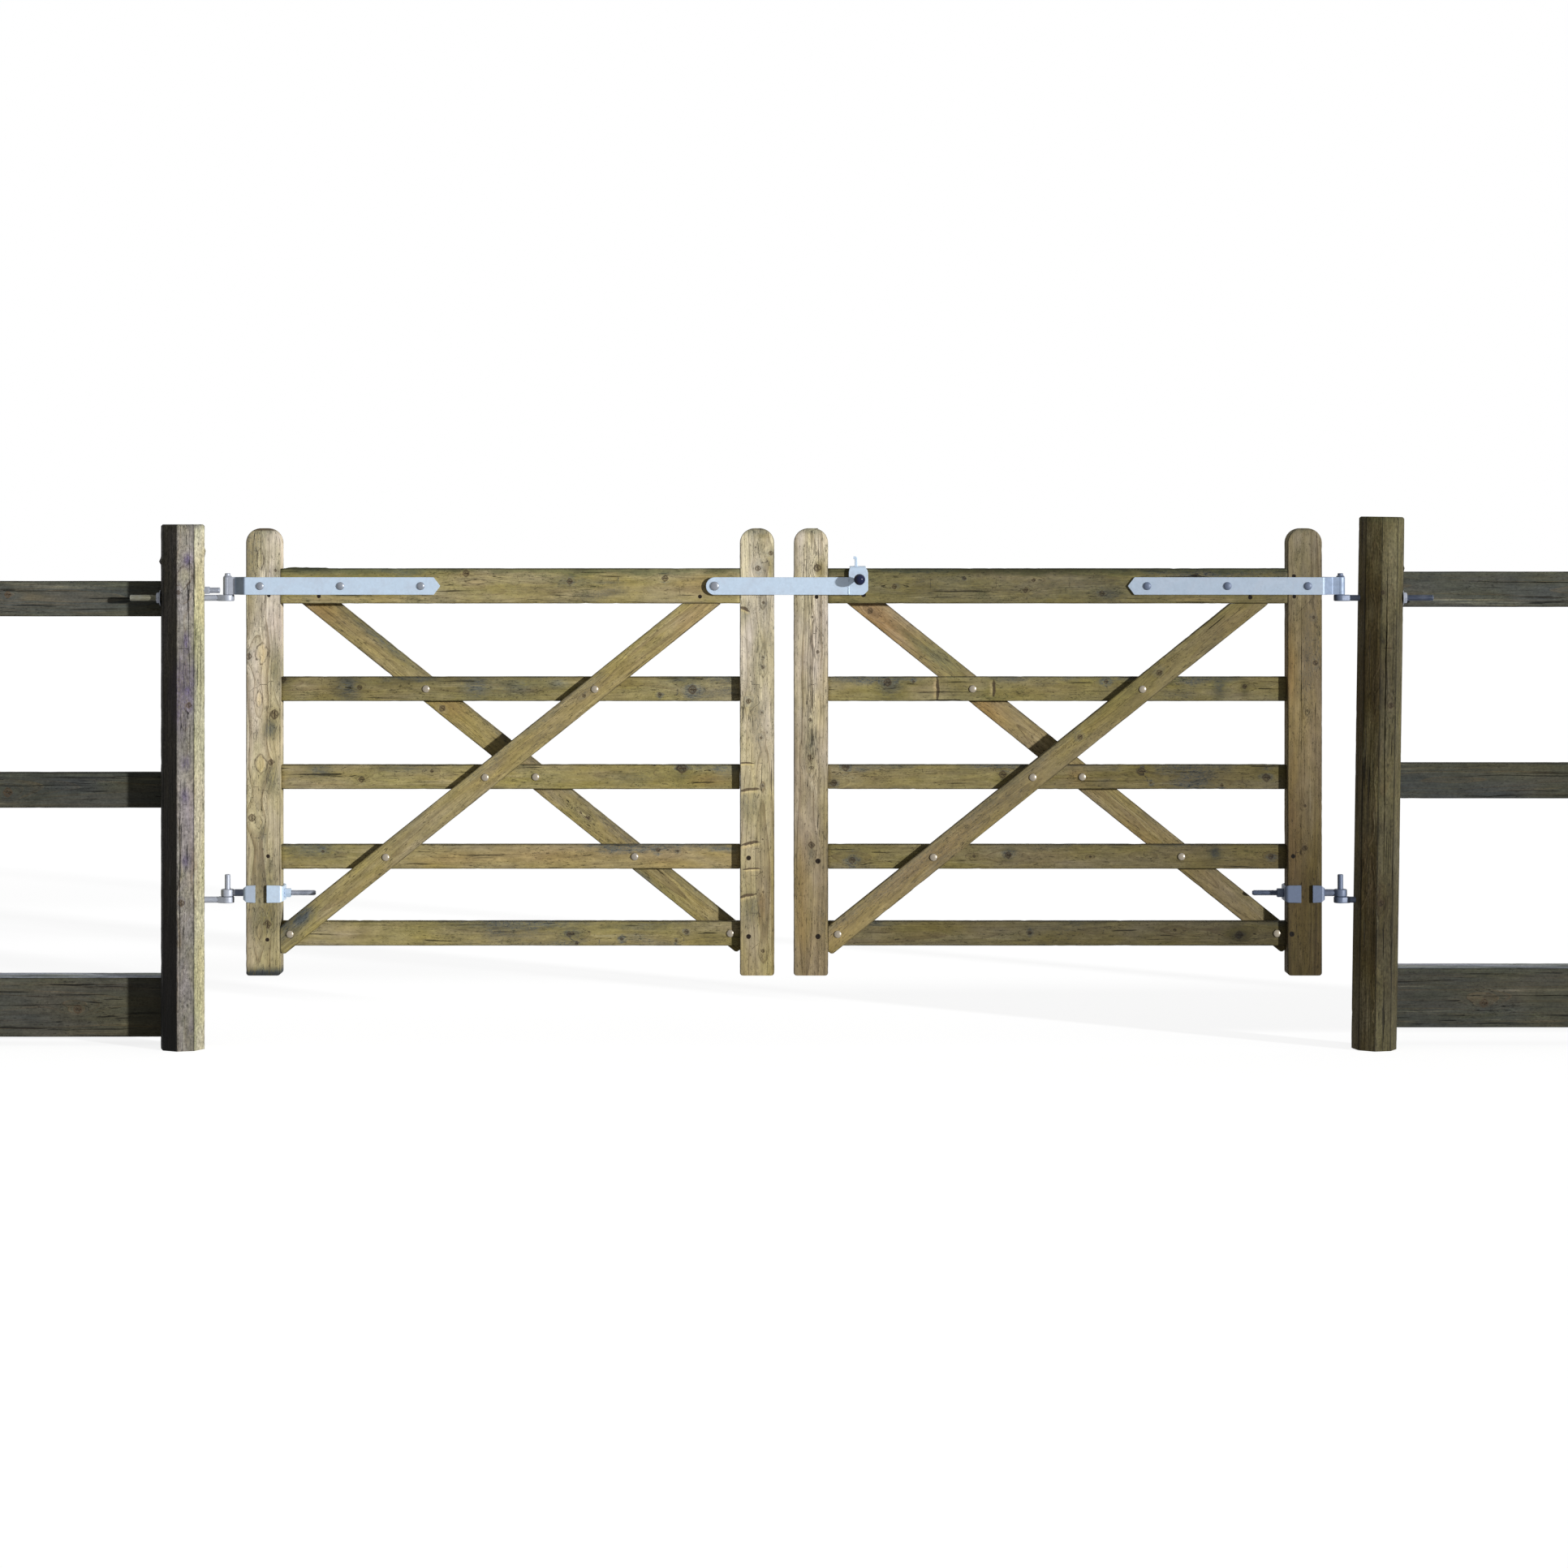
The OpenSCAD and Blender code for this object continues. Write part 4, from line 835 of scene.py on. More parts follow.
# Knots: along, across and radius in millimetres; a radius below zero is the end of a dowel
KNOTS = {
    "left_hanging_stile": [(102, 12, -4.5), (145, 12, 11), (339, 14, -4.5), (448, -32, 10), (606, 22, 8),
        (742, 32, 12), (906, -41, 8.5), (1079, 16, -4), (1150, 35, 4)],
    "left_shutting_stile": [(70, 17, 5), (111, -24, -5.5), (238, 17, 3), (334, -24, -5.5), (387, 16, 2.5),
        (539, 16, 3), (675, 11, 4), (747, 14, 3), (779, -24, 7.5), (876, 16, 5.5), (904, 16, 3.5),
        (1059, 18, 4),
        (1156, 2, 7.5), (1199, 39, 6), (1216, -4, 2.5)],
    "right_shutting_stile": [(111, 20, -6), (325, 20, -6), (371, 1, 8.5), (590, 1, 5.5), (619, -2, 8.5),
        (726, -2, 5), (919, 19, 4.5), (1018, 4, 3), (1075, 16, -4.5), (1157, 18, 10)],
    "right_hanging_stile": [(118, -37, -6), (339, -33, -5), (362, 0, 7), (482, 1, 3.5), (752, 7, 4),
        (888, 30, 6.5),
        (1017, 25, 4.5), (1076, -30, -4.5), (1134, -31, -4.5)],
    "left_top_rail": [(109, -29, -4.5), (305, 7, 4), (527, 36, 9), (821, 13, 8), (1092, 22, 8.5),
        (1191, -30, -4.5)],
    "left_second_rail": [(6, 28, 8), (223, 5, 7), (1076, -16, 5.5), (1169, -2, 11.5)],
    "left_third_rail": [(228, -7, 8), (428, 16, 5), (1139, 24, 13)],
    "left_fourth_rail": [(118, 15, 4), (1071, 19, 6), (1127, 16, 3.5)],
    "left_bottom_rail": [(823, -2, 10.5), (840, -28, 5), (968, -16, 4.5), (1122, -21, 3.5), (1152, 5, 6)],
    "right_top_rail": [(100, -25, -5.5), (188, -2, 6.5), (386, 22, 5), (560, -11, 7.5), (583, 17, 5),
        (777, -21, 7.5), (1042, 28, 5), (1198, -32, -5)],
    "right_second_rail": [(169, 19, 10.5), (243, 21, 3.5), (790, 21, 6), (1185, 7, 6)],
    "right_third_rail": [(16, -17, 9), (49, 28, 10), (497, 7, 10), (892, 15, 11), (918, -17, 3.5),
        (1120, -24, 4.5),
        (1246, -2, 10.5)],
    "right_fourth_rail": [(68, -10, 8.5), (415, 1, 4.5), (512, 4, 9), (746, 0, 3.5), (898, 7, 7.5),
        (918, -4, 3),
        (1259, 1, 7.5)],
    "right_bottom_rail": [(574, 2, 5), (986, 10, 4.5), (1169, -5, 10)],
    "left_front_brace": [(1119, 5, 5)],
    "left_back_brace": [(569, -2, 12), (592, -3, 6), (1085, -17, 9)],
    "right_front_brace": [(931, 6, 7), (1221, 7, 8)],
    "right_back_brace": [(1128, -49, 8), (1520, -10, 8)],
}

# Stubs of twigs and tufts of moss on the edges: along, side and height, in millimetres
NUBS = {
    "left_top_rail": [(20, 1, 3), (37, 1, 4.5), (52, 1, 2.5), (70, 1, 4), (86, 1, 2), (103, 1, 3.5),
        (121, 1, 3)],
    "left_post": [(1389, -1, 6), (1414, 1, 4)],
    "right_post": [(1367, 1, 4)],
}

# Scars: along, across, half length and half width in millimetres, kind (1 a cut across the grain,
# 2 a healed lens) and tilt
SCARS = {
    "left_hanging_stile": [(127, -11, 24, 7, 2, 0), (435, -7, 10, 6, 2, 0), (600, -7, 28, 17, 2, 0),
        (783, -11, 28, 10, 2, 0), (916, -2, 30, 18, 2, 0), (1184, -8, 32, 10, 2, 0)],
    "left_shutting_stile": [(228, -28, 10, 30, 1, -0.7), (304, -14, 6, 30, 1, -0.2),
        (377, -19, 10, 32, 1, -0.6),
        (529, -21, 10, 32, 1, -0.35), (604, -30, 6, 26, 1, 0), (1042, -35, 10, 16, 1, 0.7)],
    "right_hanging_stile": [(751, 7, 14, 6, 2, 0)],
    "left_top_rail": [(558, 12, 34, 8, 2, 0)],
    "right_second_rail": [(312, -1, 10, 40, 1, 0), (472, 0, 10, 28, 1, 0)],
    "left_post": [(1343, -5, 32, 22, 2, 0)],
}

# Patches: along, across and their reach in millimetres, then how much more olive, warm, dark and mildewed
PATCHES = {
    "left_hanging_stile": [(2, 0, 16, 200, 0.5, -0.3, 0.75, 1.6), (154, 3, 60, 50, 0.4, 0.1, 0.12, 0.4),
        (270, 8, 80, 40, 0.4, 0, 0.05, 0.3), (403, -1, 30, 12, 0.3, 0, 0.2, 0.5),
        (558, 22, 50, 25, 0.5, 0, 0.15, 0.5), (700, 22, 30, 22, 0.6, 0, 0.25, 0.8),
        (742, 33, 30, 20, 0.3, 0.2, 0.2, 0), (869, 33, 70, 20, 0.6, 0, 0.1, 0.4),
        (1145, 38, 20, 15, 0.4, 0, 0.25, 0.3), (620, 0, 260, 80, 0, 0, -0.10, 0),
        (1180, -34, 50, 20, 0.5, 0, 0.12, 0.3)],
    "left_shutting_stile": [(189, -16, 50, 30, 0.3, 0, 0, 0.5), (200, 14, 40, 8, 0.2, 0.7, 0, 0),
        (235, 44, 250, 6, 0.5, 0.2, 0.15, 0), (488, -21, 50, 30, 0.3, 0, 0, 0.45),
        (770, -23, 30, 20, 0.5, 0, 0, 0.1), (1025, -35, 30, 18, 0.3, 0, 0.15, 0.6),
        (1157, 39, 60, 8, 0.8, 0, 0.1, 0), (1249, 16, 8, 20, 0.5, 0, 0.35, 0),
        (620, 0, 300, 80, 0, 0, -0.12, 0)],
    "right_shutting_stile": [(189, -26, 300, 20, 0.2, 0.25, 0.02, 0), (346, 1, 30, 12, 0.3, 0, 0.1, 0.5),
        (661, -1, 40, 14, 0.2, 0, 0.05, 0.6), (1150, 27, 30, 12, 0.7, 0.2, 0.25, 0),
        (1157, 4, 120, 20, 0, 0, -0.1, 0)],
    "right_hanging_stile": [(235, 23, 60, 30, 0.5, 0, 0.05, 0),
        (465, -35, 200, 20, 0.2, 0.4, 0, 0), (880, -46, 100, 20, 0.2, 0.6, -0.12, 0),
        (1180, -9, 100, 30, 0, -0.2, 0, 0.1), (720, 0, 280, 80, 0, 0, -0.30, 0)],
    "left_top_rail": [(75, 50, 60, 8, 0.8, -0.3, 0.35, 0), (120, 48, 50, 10, 0.4, 0, 0.15, 0.2),
        (189, -37, 200, 10, 0, 0.35, -0.1, 0),
        (189, 41, 220, 12, 0.6, -0.2, 0.18, 0.35), (489, 48, 50, 7, 0.3, 0, 0.5, 0.4),
        (673, -7, 100, 15, 0.3, 0.1, 0, 0.2), (821, 14, 50, 20, 0.3, -0.1, 0.12, 0.6),
        (853, 45, 40, 9, 0.3, 0, 0.45, 0.3), (927, 9, 50, 6, 0.2, 0, 0.2, 0.5),
        (1198, 0, 90, 30, 0, 0.45, 0, 0),
        (1242, 45, 30, 9, 0.3, 0, 0.4, 0.3)],
    "left_second_rail": [(5, 26, 30, 20, 0.3, 0, 0.35, 0.3), (53, 0, 40, 20, -0.2, 0.3, -0.05, 0),
        (189, 5, 35, 40, 0.3, -0.2, 0.12, 0.9), (397, 26, 120, 10, 0.3, 0, 0.15, 0.4),
        (553, 7, 40, 40, 0.3, -0.2, 0.05, 0.9), (673, 7, 60, 30, 0.2, -0.1, 0.05, 0.6),
        (708, -4, 30, 10, 0, 0.4, 0, 0), (788, 16, 30, 15, 0, 0, -0.05, 0.7),
        (961, -20, 70, 20, 0, 0.25, -0.05, 0),
        (1139, 30, 50, 14, 0.3, 0, 0.2, 0.8)],
    "left_third_rail": [(5, -5, 20, 20, 0.1, 0.3, 0, 0), (109, 18, 40, 20, 0.3, -0.2, 0.1, 0.8),
        (351, 25, 100, 12, 0.3, -0.1, 0.05, 0.6), (581, -17, 100, 12, 0, 0.2, -0.08, 0),
        (996, -1, 100, 20, 0.2, -0.2, 0, 0.35), (1139, 18, 20, 20, 0.2, 0, 0.2, 0.3),
        (1215, -10, 60, 20, 0, 0.55, 0.12, 0)],
    "left_fourth_rail": [(86, 19, 80, 20, 0.4, -0.2, 0.05, 0.7), (443, -9, 100, 20, 0, 0.25, 0, 0),
        (708, 0, 200, 30, 0, 0.4, 0, 0), (950, 28, 40, 12, 0.4, 0, 0.2, 0.5),
        (1088, -13, 60, 20, 0, 0.2, 0, 0)],
    "left_bottom_rail": [(189, 2, 90, 30, 0, 0.3, 0, 0), (558, 25, 140, 10, 0.3, 0, 0.1, 0.4),
        (673, 18, 120, 12, 0.3, -0.1, 0.1, 0.5), (823, 0, 35, 18, 0.3, -0.1, 0.22, 0.7),
        (1019, 18, 100, 12, 0.3, -0.1, 0.08, 0.5), (1226, -16, 50, 20, 0.2, 0.1, 0.1, 0.2)],
    "right_top_rail": [(17, -37, 30, 20, 0.5, 0.2, -0.1, 0), (120, -37, 60, 12, 0.4, 0.2, -0.08, 0),
        (293, -9, 80, 20, 0, 0.1, 0.12, 0.1), (524, 46, 500, 10, 0.3, 0, 0.35, 0.1),
        (800, -25, 30, 14, 0, -0.1, 0.2, 0.5), (1054, -37, 120, 8, 0, 0.5, -0.25, 0),
        (650, 0, 600, 90, 0, 0, 0, 0.3)],
    "right_second_rail": [(51, -2, 40, 30, 0, 0.15, -0.02, 0), (178, 9, 35, 35, 0.5, -0.1, 0.22, 0.7),
        (362, -2, 30, 30, 0.2, 0, 0, 0.2), (466, 0, 12, 40, 0.2, 0, 0.05, 0.2),
        (639, -2, 150, 30, 0, 0.15, -0.05, 0), (869, -7, 50, 20, 0, 0.2, 0.05, 0),
        (1113, 9, 16, 30, 0.2, -0.2, 0.18, 1), (1185, 3, 8, 20, 0.2, 0, 0.15, 0.4)],
    "right_third_rail": [(14, -14, 20, 18, 0, 0.2, 0.3, 0), (130, -5, 10, 30, 0, 0.1, 0.15, 0),
        (496, 6, 20, 20, 0.2, 0, 0.1, 0.2), (708, 6, 30, 30, 0, 0.5, -0.1, 0),
        (984, 6, 200, 20, 0.2, 0, 0.02, 0)],
    "right_fourth_rail": [(63, 14, 50, 20, 0.4, 0, 0.05, 0.2), (512, 5, 20, 20, 0.2, 0, 0.15, 0.2),
        (639, -9, 120, 20, 0, 0.15, -0.03, 0), (1100, 10, 14, 22, 0.2, -0.1, 0.15, 1)],
    "right_bottom_rail": [(178, 2, 80, 20, 0, 0.25, -0.05, 0), (1169, -5, 30, 18, 0.2, 0, 0.18, 0.3),
        (1284, 14, 50, 20, 0.3, 0, -0.05, 0.1)],
    "left_front_brace": [(34, 41, 60, 50, 0.5, 0, 0.3, 0.9), (105, 19, 34, 22, 0.4, 0, 0.4, 1.2),
        (1482, -15, 80, 30, 0, 0.3, -0.05, 0)],
    "left_back_brace": [(348, -34, 100, 12, 0.3, 0, 0.1, 0.7), (578, 2, 60, 30, 0.1, -0.1, -0.05, 0.2),
        (791, -35, 60, 30, 0, 0.4, 0.1, 0), (1073, 4, 50, 30, 0, 0.45, 0.15, 0),
        (1341, 25, 120, 12, 0.3, -0.2, 0.1, 0.8), (1532, -10, 60, 40, 0, 0.5, 0.05, 0)],
    "right_front_brace": [(415, 0, 100, 20, 0.1, 0.25, -0.05, 0), (1135, 13, 80, 30, 0.4, -0.1, 0.05, 0.1),
        (1499, -13, 80, 40, 0, 0.25, 0.02, 0)],
    "right_back_brace": [(522, -56, 100, 40, 0, 0.4, 0.05, 0), (1085, -36, 70, 40, -0.1, 0.6, 0.05, 0),
        (1273, 14, 90, 40, 0.5, -0.6, 0, 0.3), (1368, 3, 100, 10, 0.4, -0.2, 0.25, 0.3),
        (1489, -11, 110, 50, -0.3, 0.75, 0.1, 0)],
    "left_post": [(539, 2, 20, 12, 0, 0, 0.1, 0.9), (723, -2, 20, 12, 0, 0, 0.12, 0.9),
        (816, 2, 20, 12, 0, 0, 0.12, 1), (1021, 6, 15, 12, 0, 0, 0.12, 1.2), (1145, 0, 22, 13, 0, 0, 0.12, 1.2),
        (1177, 2, 14, 12, 0, 0, 0.05, 0.7), (1348, 2, 20, 14, -0.3, 0.1, 0, 0),
        (1394, 6, 16, 12, 0, 0, -0.1, 1.2)],
    "right_post": [(332, -22, 20, 20, 0, 0, 0.18, 0), (447, -19, 50, 20, 0, 0, -0.1, 0),
        (631, -38, 20, 30, 0, 0, 0.2, 0), (1000, -32, 40, 20, 0, 0, 0.22, 0),
        (1184, -25, 30, 20, 0, 0, 0.22, 0),
        (1276, -48, 20, 20, 0, 0, 0.2, 0.2), (1369, -33, 30, 30, 0, 0, -0.2, 0),
        (1369, 20, 120, 20, -0.2, 0, -0.1, 0)],
}


def marks_of(node):
    """Scars, patches and nubs of a timber"""
    return {"scars": SCARS.get(node, []), "patches": PATCHES.get(node, []), "nubs": NUBS.get(node, [])}


def look_of(node, seed, **more):
    """Stain, marks and pith of a leaf's timber"""
    rng = random.Random(seed)
    pith = (rng.uniform(-0.02, 0.02), rng.uniform(0.028, 0.06))
    return {"stain": STAINS[node], "knots": KNOTS.get(node, []), **marks_of(node), "moss": 0.15, "pith": pith,
            "wave": 0.0020, **more}


class GATE_OT_stiles(bpy.types.Operator):
    """Builds the four stiles with their round tops"""
    bl_idname = "gate.stiles"
    bl_label = "Stiles"

    def execute(self, context):
        # Cracks: across, from and to along the stile, width and depth. Ridges: across, from, to, strength
        splits = {
            "left_hanging_stile": [(-0.004, 1.12, 1.262, 0.0016, 0.006)],
            "left_shutting_stile": [(0.012, 0.22, 0.52, 0.0010, 0.004)],
            "right_shutting_stile": [(0.020, 1.15, 1.262, 0.0014, 0.006)],
            "right_hanging_stile": [(-0.010, 0.60, 1.05, 0.0014, 0.005)],
        }
        ridges = {
            "right_shutting_stile": (0.004, 0.55, 1.20, 1.0), "left_hanging_stile": (0.0, 0.98, 1.16, 0.6),
            "left_shutting_stile": (0.012, 0.75, 1.05, 0.35)}
        # How much of the end grain shows on each round top
        crowns = {"left_hanging_stile": 1.0, "left_shutting_stile": 0.45, "right_shutting_stile": 0.05,
                  "right_hanging_stile": 0.25}
        for seed, (node, cracks) in enumerate(splits.items(), 1):
            low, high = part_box(node)
            size = high - low
            place = (Vector(((low.x + high.x) / 2, low.y, low.z)), Z, X, Y)
            rows = rounded(size.z, pitch=0.010, radius=0.042, ease=0.008)
            look = look_of(node, seed, upright=True, moss=0.35, wave=0.0009, crown=crowns[node], end=0.9)
            if node in ridges:
                look["ridged"] = ridges[node]
            part = sweep(place, (size.x, size.y, 0, cracks), rows, look, seed)
            timber_object(node + "_timber", [part], "stile_softwood", node)
        return {"FINISHED"}


class GATE_OT_rails(bpy.types.Operator):
    """Builds the ten rails between the stiles"""
    bl_idname = "gate.rails"
    bl_label = "Rails"

    def execute(self, context):
        seed = 20
        for leaf in LEAVES:
            for rail in ("top", "second", "third", "fourth", "bottom"):
                seed += 1
                node = f"{leaf}_{rail}_rail"
                low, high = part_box(node)
                size = high - low
                place = (Vector((low.x, low.y, (low.z + high.z) / 2)), X, Z, Y)
                look = look_of(node, seed, moss=0.9 if rail == "top" else 0.1)
                part = sweep(place, (size.z, size.y, 0, ()), straight(size.x, pitch=0.011), look, seed)
                timber_object(node + "_timber", [part], "rail_softwood", node)
        return {"FINISHED"}


def brace_line(node):
    """Foot and direction of a brace's centre line, its width, and where it is cut: the stile's face,
    the lowest level and the top rail's underside"""
    co = solid_points(node)
    low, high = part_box(node)
    top = co[co[:, 2] > high.z - TOUCH]
    foot = co[co[:, 2] < low.z + TOUCH]
    rising = top[:, 0].mean() > (low.x + high.x) / 2
    outer = max if rising else min
    a = Vector((outer(foot[:, 0]), 0, low.z))
    b = Vector((outer(top[:, 0]), 0, high.z))
    run = (b - a).normalized()
    width = np.ptp(top[:, 0]) * run.z
    up = Vector((-run.z, 0, run.x)) if rising else Vector((run.z, 0, -run.x))
    return a + up * width / 2, run, up, width, low.x if rising else high.x, low.z, high.z


class GATE_OT_braces(bpy.types.Operator):
    """Builds the crossed braces, cut plumb at the stiles and level under the top rails"""
    bl_idname = "gate.braces"
    bl_label = "Braces"

    def execute(self, context):
        seed = 40
        for leaf in LEAVES:
            for side in ("front", "back"):
                seed += 1
                node = f"{leaf}_{side}_brace"
                base, run, up, width, stile, foot, top = brace_line(node)
                low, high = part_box(node)
                base.y = low.y

                def start(v):
                    plumb = (stile - base.x - v * up.x) / run.x
                    return np.maximum(plumb, (foot - base.z - v * up.z) / run.z)

                def end(v):
                    return (top - base.z - v * up.z) / run.z

                long = float(end(0) - start(0))
                part = sweep((base, run, up, Y), (width, high.y - low.y, 0, ()), straight(long, pitch=0.011),
                             look_of(node, seed), seed, start, end)
                timber_object(node + "_timber", [part], "brace_softwood", node)
        return {"FINISHED"}


def post_axis(node):
    """Foot of a post, its direction, turn, length and width, read from its solid"""
    co = solid_points(node)
    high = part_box(node)[1]
    ground = co[co[:, 2] < TOUCH]
    centre = (ground.min(0) + ground.max(0)) / 2
    far = ground[np.hypot(*(ground - centre)[:, :2].T) > 0.06] - centre
    turn = np.degrees(np.arctan2(far[:, 1], far[:, 0])) % 45 - math.degrees(HALF_CORNER)
    turn = math.radians(float(np.median(turn)))
    head = co[co[:, 2] > high.z - 0.004]
    top = (head.min(0) + head.max(0)) / 2
    lean = Vector((top[0] - centre[0], 0, top[2])).normalized()
    corner = np.hypot(*(ground - centre)[:, :2].T).max()
    width = 2 * corner * math.cos(HALF_CORNER)
    return Vector((centre[0], centre[1], 0)), lean, turn, high.z / lean.z, width


class GATE_OT_posts(bpy.types.Operator):
    """Builds the octagonal gate posts and fence posts"""
    bl_idname = "gate.posts"
    bl_label = "Posts"

    def execute(self, context):
        # Darkness face by face (left sides, fronts and backs, right sides) is painted light and shade: the grey
        # post's left side is painted near black as shade, and the brown posts' left sides, which the sun doesn't
        # reach, are painted lighter than their sunlit faces
        grey = {"stain": ((0.95, 0.10, 0.10), (0.95, 0.0, -0.12)),
                "faces": ((0, 0.3, 0.885), (0, 0, 0), (-0.9, 0, 0))}
        brown = {"stain": ((0.75, 0.90, -0.30), (0.75, 0.90, -0.42)),
                 "faces": ((-0.2, -0.1, 0.52), (0, -0.35, 0.92), (0, -0.35, 0.94))}
        posts = {
            "left_post": (grey, "post_softwood",
                          [(0.011, 1.0, 1.47, 0.0013, 0.010), (-0.015, 0.1, 0.75, 0.0018, 0.008)]),
            "right_post": (brown, "brown_softwood", [(-0.006, 0.5, 1.4, 0.0030, 0.014)]),
            "left_fence_post": (brown, "brown_softwood", [(0.004, 0.4, 1.3, 0.0026, 0.012)]),
            "right_fence_post": (brown, "brown_softwood", [(-0.010, 0.2, 1.2, 0.0026, 0.012)]),
        }
        for seed, (node, (look, material, cracks)) in enumerate(posts.items(), 60):
            foot, lean, turn, long, width = post_axis(node)
            across = Vector((math.cos(turn), math.sin(turn), 0))
            across = (across - lean * across.dot(lean)).normalized()
            back = lean.cross(across)
            look = {**look, "upright": True, "moss": 0.5, "pith": (0.004, width / 2), "gap": 0.0085,
                    "ragged": 0.8, "wave": 0.0012, "knots": [(420, -12, 9), (980, 10, 8), (1300, -20, 6)],
                    **marks_of(node)}
            cut = width / 2 * (1 - math.tan(HALF_CORNER))
            part = sweep((foot - back * width / 2, lean, across, back), (width, width, cut, cracks),
                         bevelled(long, pitch=0.010, bevel=0.005), look, seed)
            timber_object(node + "_timber", [part], material, node)
        return {"FINISHED"}


class GATE_OT_fence(bpy.types.Operator):
    """Builds the rails and kick board of both fence bays"""
    bl_idname = "gate.fence"
    bl_label = "Fence"

    def execute(self, context):
        for seed, node in enumerate(("left_fence_panel", "right_fence_panel"), 80):
            co = solid_points(node)
            levels = sorted(set(np.round(co[:, 2], 5)))
            parts = []
            for k in range(3):
                rows = co[(co[:, 2] > levels[2 * k] - TOUCH) & (co[:, 2] < levels[2 * k + 1] + TOUCH)]
                low, high = Vector(rows.min(0)), Vector(rows.max(0))
                size = high - low
                place = (Vector((low.x, low.y, (low.z + high.z) / 2)), X, Z, Y)
                dark = ((0.10, 0.12, -0.30), (0.20, 0.12, -0.14))[seed - 80][k]
                look = {"stain": ((1.5, 0.25, dark), (1.5, 0.25, dark)), "moss": 0.2, "pith": (0.01, 0.05),
                        "knots": [(320 + 310 * k, -15, 11), (1050 + 120 * k, 12, 9), (1490 - 200 * k, -6, 12)]}
                # The kick board's upper face is made pale: partly faded timber, partly painted sky light
                if k == 0:
                    look["bare_top"] = -0.6
                cracks = [(0.006 + 0.008 * k, 0.25, 1.55, 0.0026, 0.010), (-0.024, 0.6, 1.3, 0.0016, 0.006)]
                rows = straight(size.x, pitch=0.012)
                parts.append(sweep(place, (size.z, size.y, 0, cracks), rows, look, seed * 5 + k))
            timber_object(node + "_timber", parts, "fence_softwood", node)
        return {"FINISHED"}


# ---------- steel ----------

THREAD_DEPTH = 0.55  # depth of a thread, in pitches
NUT_WIDTH = 1.7  # width across the flats of a coach bolt's nut, in shank diameters
NUT_DEPTH = 0.8  # its depth, in the same
NUT_FACE = 0.475  # radius of a nut's flat face inside the chamfer, in widths across the flats
BOLT_END = 0.004  # how far a brace bolt's end shows past its nut
WASHER = 0.0026  # thickness of a hook's washer
EDGE = 0.0012  # radius of the edges of straps, eyes and plates
WELD = 0.0022  # radius of the bead that joins an eye to its strap or bolt
CRANK_END = 0.0035  # how far before the stile a strap's crank ends
SUNK = 0.002  # how far a bar starts inside the piece that carries it
SLACK = 0.0001  # how much thinner a pin or an arm is than its hole or its nose
EYE_PLAY = 0.0004  # room between an eye and the hook below it or the collar above it
LUG_WIDTH = 0.008  # thickness of the latch's lug
UPPER_RISE = 0.0215  # height of the left hook's second, thinner bolt above its arm
UPPER_NUT = 0.0205, 0.019  # width across the flats and depth of that bolt's nut
UPPER_RADIUS = 0.0085  # radius of its thread

# Bands
EYE_THIN = 0.001  # how much thinner an eye is than its strap
STRAP_START = 0.0045  # how far past the pin's middle a strap leaves its eye
CRANK_START = 0.0015  # how far past its foot a strap's crank begins
BLUNT_TIP = ((0.0012, 0.12), (0.0, 0.07))  # a strap's tip: distance from its end and share of its height
SEAM_PAST, SEAM_IN = 0.0006, 0.0008  # where the bead lies, past the strap's corner and in from its face
SEAM_INSET = 0.002  # how far the bead stops before the strap's edges
SEAM_SHADE = 0.0025  # how far past the bead the eye's own zinc reaches

# Eye bolts and stirrups
THROAT = ((0, 0.9), (0.006, 0.93), (0.012, 1.0))  # how a neck widens: distance and share of its radius
EYE_EDGE = 0.0035  # radius of the rounded edges of an eye bolt's eye, and how far in its bead lies
THREAD_START = 0.004  # how far past the stile an eye bolt's thread begins
WAIST_RUN = 0.004  # length over which a stirrup widens from its waist, past its thickness
FLAP_END, FLAP_ROUND = 0.0012, 0.0008  # length and depth of the rounded ends of a stirrup's flaps
STIRRUP_EDGE = 0.0014  # radius of a stirrup's edges

# Hooks
NOSE_EDGE = 0.0028  # radius of the rounded edges of a hook's nose
PIN_SUNK = 0.001  # how deep a pin starts in its nose
PIN_TIP = ((0.0022, 0), (0.0012, 0.0004), (0.0004, 0.0011), (0, 0.0024))  # distance from its end, worn off
PIN_COLLAR = ((0, 0.0035), (0.001, 0.0045), (0.0042, 0.0006))  # rise and reach past the pin
TAIL_SUNK = 0.01  # how deep a hook's threaded tail starts in the post

# Latch
LATCH_EDGE = 0.0011  # radius of the edges of the strap and the tongue
TONGUE_BEAD, LUG_BEAD = 0.0017, 0.0016  # radius of the beads at the tongue's foot and the lug's
REST_GAP = 0.0003  # room between the latch and what it rests on or turns against
TONGUE_LEFT, TONGUE_RIGHT = 0.0035, 0.0065  # how much narrower the tongue is past its bend, on each side


def skin(rings, closed=False):
    """Faces over rings of points, one after another. Unless closed, flat ends are added"""
    rings = np.asarray(rings, float)
    m, n = rings.shape[:2]
    grid = np.arange(m * n).reshape(m, n)
    a, b = (grid, np.roll(grid, -1, 0)) if closed else (grid[:-1], grid[1:])
    faces = np.stack([a, np.roll(a, -1, 1), np.roll(b, -1, 1), b], -1).reshape(-1, 4).tolist()
    if not closed:
        faces += [grid[0, ::-1].tolist(), grid[-1].tolist()]
    return rings.reshape(-1, 3), faces


